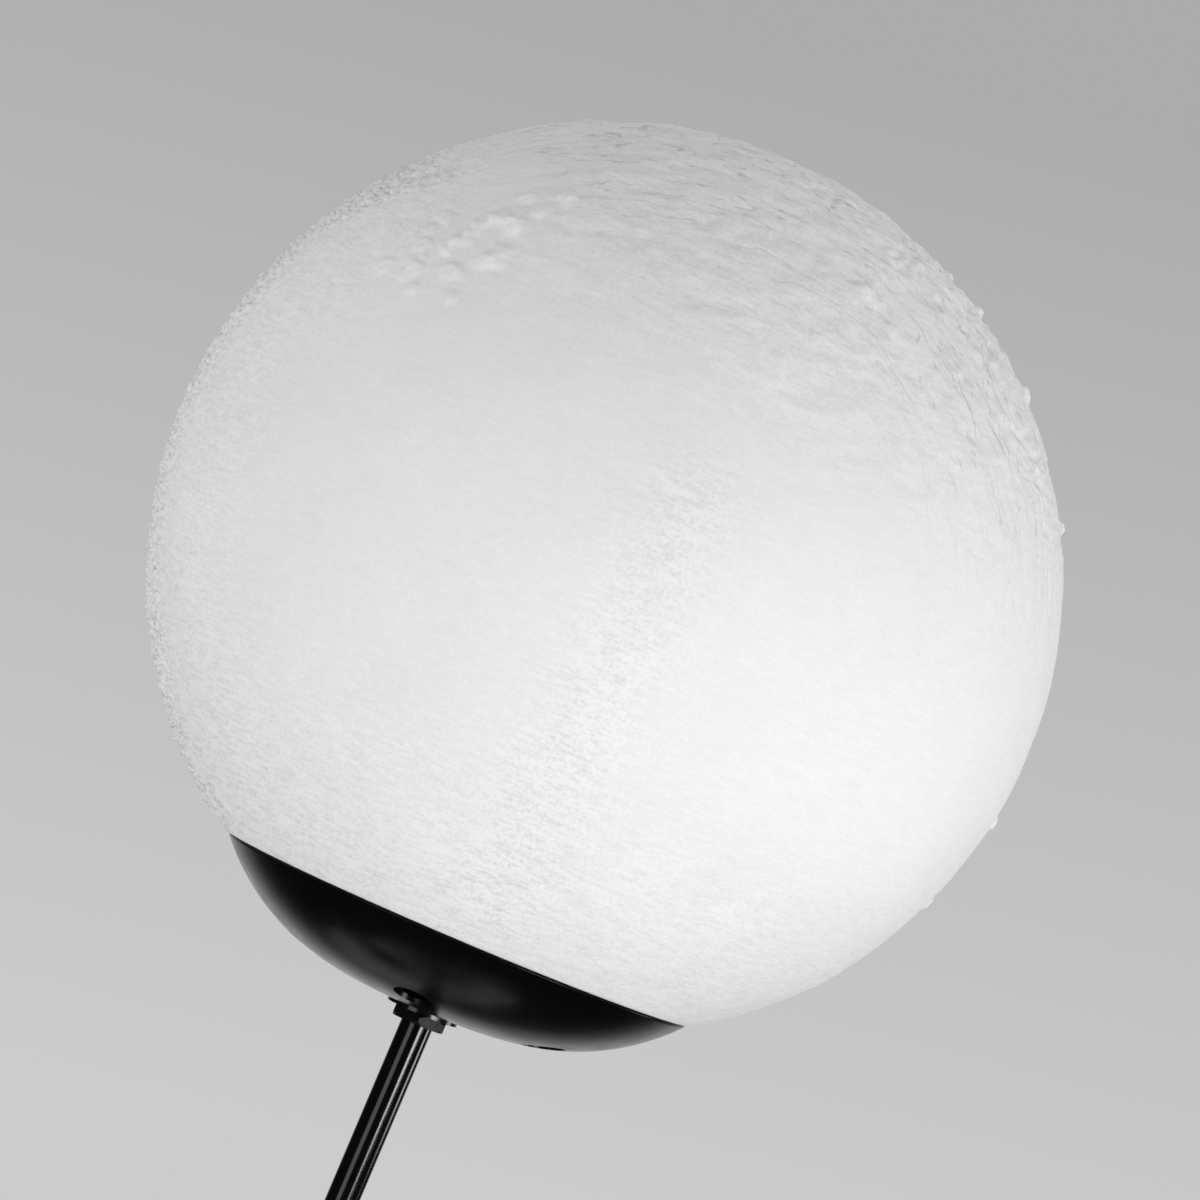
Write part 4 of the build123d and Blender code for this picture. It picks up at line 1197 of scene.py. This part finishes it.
@dataclass
class Figure:
    """The astronaut's suit, re-cast with creases in place of plain CAD surfaces."""

    fold_size_mm: float = 10.0
    crease_size_mm: float = 4.2
    crease_share: float = 0.35
    # Fall, step, layers, offset and gain of the ridged noise, and its share and limits in the folds.
    fold_ridges: tuple[float, float, int, float, float] = (1.0, 2.0, 2, 1.0, 1.6)
    fold_share: float = 0.45
    fold_limit: float = 2.0
    relax_share: float = 0.5
    relax_turns: int = 2
    pieces: tuple[SoftPiece, ...] = (
        SoftPiece("left_leg", "suit_white", 0.7, 0.95),
        SoftPiece("right_leg", "suit_white", 0.7, 0.95),
        SoftPiece("left_arm", "suit_white", 0.6, 0.9),
        SoftPiece("right_arm", "suit_white", 0.6, 0.9),
        SoftPiece("hips", "suit_white", 0.7, 1.0),
        SoftPiece("torso", "suit_white", 0.6, 1.0),
        SoftPiece("left_boot", "suit_white", 0.35, 0.9),
        SoftPiece("right_boot", "suit_white", 0.35, 0.9),
        SoftPiece("left_glove", "glove_grey", 0.3, 0.6),
        SoftPiece("right_glove", "glove_grey", 0.3, 0.6),
    )

    def recast(self, node: str, voxel_mm: float) -> bpy.types.Mesh:
        """Return an evenly divided copy of a CAD node's mesh.

        Args:
            node: The CAD node to copy.
            voxel_mm: How far apart the new points are.

        Returns:
            The new mesh, in the shared frame.
        """
        draft = bpy.data.objects.new("draft", frame["nodes"][node].data.copy())
        bpy.context.scene.collection.objects.link(draft)
        even = draft.modifiers.new("even", "REMESH")
        even.mode = "VOXEL"
        even.voxel_size = voxel_mm * MM
        soft = draft.modifiers.new("soft", "SMOOTH")
        soft.factor = self.relax_share
        soft.iterations = self.relax_turns
        graph = bpy.context.evaluated_depsgraph_get()
        mesh = bpy.data.meshes.new_from_object(draft.evaluated_get(graph))
        plain = draft.data
        bpy.data.objects.remove(draft)
        bpy.data.meshes.remove(plain)
        return mesh

    def crease(self, mesh: bpy.types.Mesh, fold_mm: float) -> None:
        """Push a mesh's points along their normals into folds and creases.

        Args:
            mesh: The mesh to change.
            fold_mm: The depth of the deepest folds.
        """
        count = len(mesh.vertices)
        places = np.zeros(count * 3)
        mesh.vertices.foreach_get("co", places)
        places = places.reshape(-1, 3)
        outward = np.zeros(count * 3)
        mesh.vertex_normals.foreach_get("vector", outward)
        outward = outward.reshape(-1, 3)
        spots = places / MM
        ridges = spots / self.fold_size_mm
        wide = np.array([noise.ridged_multi_fractal(p, *self.fold_ridges) for p in ridges])
        fine = layered_waves(spots / self.crease_size_mm, 1.0, 2.0, 2)
        wide = (wide - wide.mean()) / max(wide.std(), 1e-6)
        wide = np.clip(wide, -self.fold_limit, self.fold_limit)
        height = -fold_mm * (self.fold_share * wide + self.crease_share * fine)
        places = places + outward * (height * MM)[:, None]
        mesh.vertices.foreach_set("co", places.ravel())
        mesh.update()

    def build(self, palette: Palette) -> None:
        """Replace the plain suit pieces by creased ones.

        Args:
            palette: The materials made so far.
        """
        for item in self.pieces:
            mesh = self.recast(item.node, item.voxel_mm)
            self.crease(mesh, item.fold_mm)
            piece = new_piece("cast_" + item.node, mesh, item.slot, palette, [item.node])
            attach(piece, Body.STAND.value)


class Serves(Enum):
    """What a light is for: to light matte surfaces, or to be mirrored in gloss."""

    FILL = "fill"
    GLINT = "glint"


@dataclass(frozen=True)
class Softbox:
    """A soft light that stands around the lamp and looks at the globe.

    The turn is in degrees to the right, as seen from the camera, and the rise is above the floor.
    """

    name: str
    serves: Serves
    turn: float
    far: float
    rise: float
    width: float
    height: float
    watts: float


@dataclass
class Studio:
    """The floor, the backdrop, the lights and the camera of the photograph."""

    floor_radius: float = 3.4
    floor_fade: float = 1.2
    floor_sides: int = 128
    floor_colour: str = "#dedede"
    floor_tint: str = "#d2d2d2"
    floor_roughness: float = 0.7
    floor_patch_mm: float = 220.0
    sky_low: str = "#cccccc"
    sky_high: str = "#acacac"
    sky_span: float = 0.076
    sky_side: float = 0.25
    room_light: str = "#d0d0d0"
    room_dark: str = "#202020"
    room_pale: str = "#dcdcdc"
    room_depth: tuple[float, float] = (0.7, 0.97)
    camera_reach: float = 100.0
    frame_width: float = 0.2892
    frame_shift: tuple[float, float] = (-0.00145, -0.00518)
    sensor_mm: float = 36.0
    lights: tuple[Softbox, ...] = (
        Softbox("left_panel", Serves.FILL, -95.0, 1.5, 0.45, 1.0, 0.9, 2.3),
        Softbox("right_panel", Serves.FILL, 100.0, 1.5, 0.45, 1.0, 0.9, 2.6),
        Softbox("low_right", Serves.FILL, 40.0, 1.1, 0.1, 0.9, 0.18, 2.7),
        Softbox("low_left", Serves.FILL, -40.0, 1.1, 0.1, 0.9, 0.18, 2.9),
        Softbox("under", Serves.FILL, 38.0, 0.32, 0.02, 0.9, 0.5, 1.8),
        Softbox("right_glint", Serves.GLINT, 40.0, 0.9, 0.08, 0.42, 0.14, 2.9),
        Softbox("left_glint", Serves.GLINT, -32.0, 1.2, 0.5, 0.55, 0.3, 0.9),
        Softbox("side_glint", Serves.GLINT, 105.0, 0.5, 0.1, 0.16, 0.1, 0.3),
    )

    def floor(self) -> bpy.types.Object:
        """Lay a round pale floor that fades out at its edge.

        Returns:
            The floor.
        """
        mesh = bpy.data.meshes.new("floor")
        work = bmesh.new()
        bmesh.ops.create_circle(
            work, cap_ends=True, segments=self.floor_sides, radius=self.floor_radius
        )
        work.to_mesh(mesh)
        work.free()
        ground = bpy.data.objects.new("floor", mesh)
        bpy.context.scene.collection.objects.link(ground)
        # Rolled studio vinyl: pale, matte, and faintly mottled.
        vinyl = bpy.data.materials.new("studio_vinyl")
        vinyl.use_nodes = True
        tree = vinyl.node_tree
        tree.nodes.clear()
        spot = add_node(tree, "TexCoord").outputs["Object"]
        mottle = add_node(
            tree, "TexNoise", {"Scale": per_metre(self.floor_patch_mm), "Detail": 4.0}, {"Vector": spot}
        )
        tone = add_node(
            tree,
            "Mix",
            {"data_type": "RGBA", MIX_A: linear(self.floor_colour), MIX_B: linear(self.floor_tint)},
            {0: mottle.outputs[0]},
        )
        matte = add_node(
            tree,
            "BsdfPrincipled",
            {"Roughness": self.floor_roughness},
            {"Base Color": tone.outputs[MIXED]},
        )
        clear = add_node(tree, "BsdfTransparent")
        away = add_node(tree, "VectorMath", {"operation": "LENGTH"}, {0: spot})
        fade = add_node(
            tree,
            "MapRange",
            {
                "interpolation_type": "SMOOTHSTEP",
                "From Min": self.floor_radius - self.floor_fade,
                "From Max": self.floor_radius,
            },
            {"Value": away.outputs["Value"]},
        )
        edge = add_node(
            tree,
            "MixShader",
            {},
            {0: fade.outputs[0], 1: matte.outputs[0], 2: clear.outputs[0]},
        )
        add_node(tree, "OutputMaterial", {}, {"Surface": edge.outputs[0]})
        mesh.materials.append(vinyl)
        ground.visible_glossy = False
        return ground

    def backdrop(self) -> None:
        """Set a grey backdrop, paler low down and to the left, in an evenly lit room.

        Gloss mirrors a room that is dark around the lamp and pale behind it.
        """
        world = bpy.data.worlds.new("backdrop")
        world.use_nodes = True
        tree = world.node_tree
        tree.nodes.clear()
        way = add_node(tree, "TexCoord").outputs["Generated"]
        parts = add_node(tree, "SeparateXYZ", {}, {0: way})
        level = add_node(
            tree,
            "Math",
            {"operation": "MULTIPLY_ADD", 1: self.sky_side},
            {0: parts.outputs["X"], 2: parts.outputs["Z"]},
        )
        rise = add_node(
            tree,
            "MapRange",
            {"From Min": -self.sky_span, "From Max": self.sky_span},
            {"Value": level.outputs[0]},
        )
        backdrop = add_node(
            tree,
            "Mix",
            {"data_type": "RGBA", MIX_A: linear(self.sky_low), MIX_B: linear(self.sky_high)},
            {0: rise.outputs[0]},
        )
        depth = add_node(
            tree,
            "MapRange",
            {
                "interpolation_type": "SMOOTHSTEP",
                "From Min": self.room_depth[0],
                "From Max": self.room_depth[1],
            },
            {"Value": parts.outputs["Y"]},
        )
        mirrored = add_node(
            tree,
            "Mix",
            {"data_type": "RGBA", MIX_A: linear(self.room_dark), MIX_B: linear(self.room_pale)},
            {0: depth.outputs[0]},
        )
        path = add_node(tree, "LightPath")
        room = add_node(
            tree,
            "Mix",
            {"data_type": "RGBA", MIX_A: linear(self.room_light)},
            {0: path.outputs["Is Glossy Ray"], MIX_B: mirrored.outputs[MIXED]},
        )
        shown = add_node(
            tree,
            "Mix",
            {"data_type": "RGBA"},
            {0: path.outputs["Is Camera Ray"], MIX_A: room.outputs[MIXED], MIX_B: backdrop.outputs[MIXED]},
        )
        glow = add_node(tree, "Background", {"Strength": 1.0}, {"Color": shown.outputs[MIXED]})
        add_node(tree, "OutputWorld", {}, {"Surface": glow.outputs[0]})
        bpy.context.scene.world = world

    def light(self, box: Softbox, passed_by: bpy.types.Collection) -> None:
        """Stand one softbox around the globe.

        Args:
            box: Its place, size and power.
            passed_by: What it doesn't light.
        """
        low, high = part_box("moon_globe")
        globe = (low + high) / 2
        turn = math.radians(box.turn)
        across, back = box.far * math.sin(turn), box.far * math.cos(turn)
        place = Vector((globe.x + across, globe.y - back, box.rise))
        lamp = bpy.data.lights.new(box.name, "AREA")
        lamp.shape = "RECTANGLE"
        lamp.size = box.width
        lamp.size_y = box.height
        lamp.energy = box.watts
        holder = bpy.data.objects.new(box.name, lamp)
        holder.location = place
        holder.rotation_mode = "QUATERNION"
        holder.rotation_quaternion = (globe - place).to_track_quat("-Z", "Y")
        holder.visible_camera = False
        holder.visible_diffuse = box.serves is Serves.FILL
        holder.visible_glossy = box.serves is Serves.GLINT
        holder.light_linking.receiver_collection = passed_by
        bpy.context.scene.collection.objects.link(holder)

    def camera(self) -> None:
        """Stand the camera level with the globe, square to the tube's lean."""
        low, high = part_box("moon_globe")
        radius = (high.x - low.x) / 2
        eye = bpy.data.cameras.new("photo_camera")
        eye.sensor_width = self.sensor_mm
        eye.lens = self.sensor_mm * CAMERA_FAR / self.frame_width
        eye.clip_end = self.camera_reach
        holder = bpy.data.objects.new("photo_camera", eye)
        holder.location = (
            high.x - radius + self.frame_shift[0],
            (low.y + high.y) / 2 - CAMERA_FAR,
            high.z - radius + self.frame_shift[1],
        )
        holder.rotation_euler = (math.pi / 2, 0.0, 0.0)
        bpy.context.scene.collection.objects.link(holder)
        bpy.context.scene.camera = holder

    def build(self) -> None:
        """Set up the whole studio."""
        # Some lights stand just over the floor, so all are flagged off it and leave no bright patches.
        passed_by = bpy.data.collections.new("flagged_off")
        passed_by.objects.link(self.floor())
        passed_by.collection_objects[0].light_linking.link_state = "EXCLUDE"
        self.backdrop()
        for box in self.lights:
            self.light(box, passed_by)
        self.camera()
        bpy.context.scene.view_settings.view_transform = "Standard"


def main() -> None:
    """Dress the lamp and set up the studio."""
    logging.basicConfig(level=logging.INFO)
    palette = Palette()
    palette.paint_nodes()
    Moon().build(palette)
    Figure().build(palette)
    Studio().build()


if __name__ == "__main__":
    main()
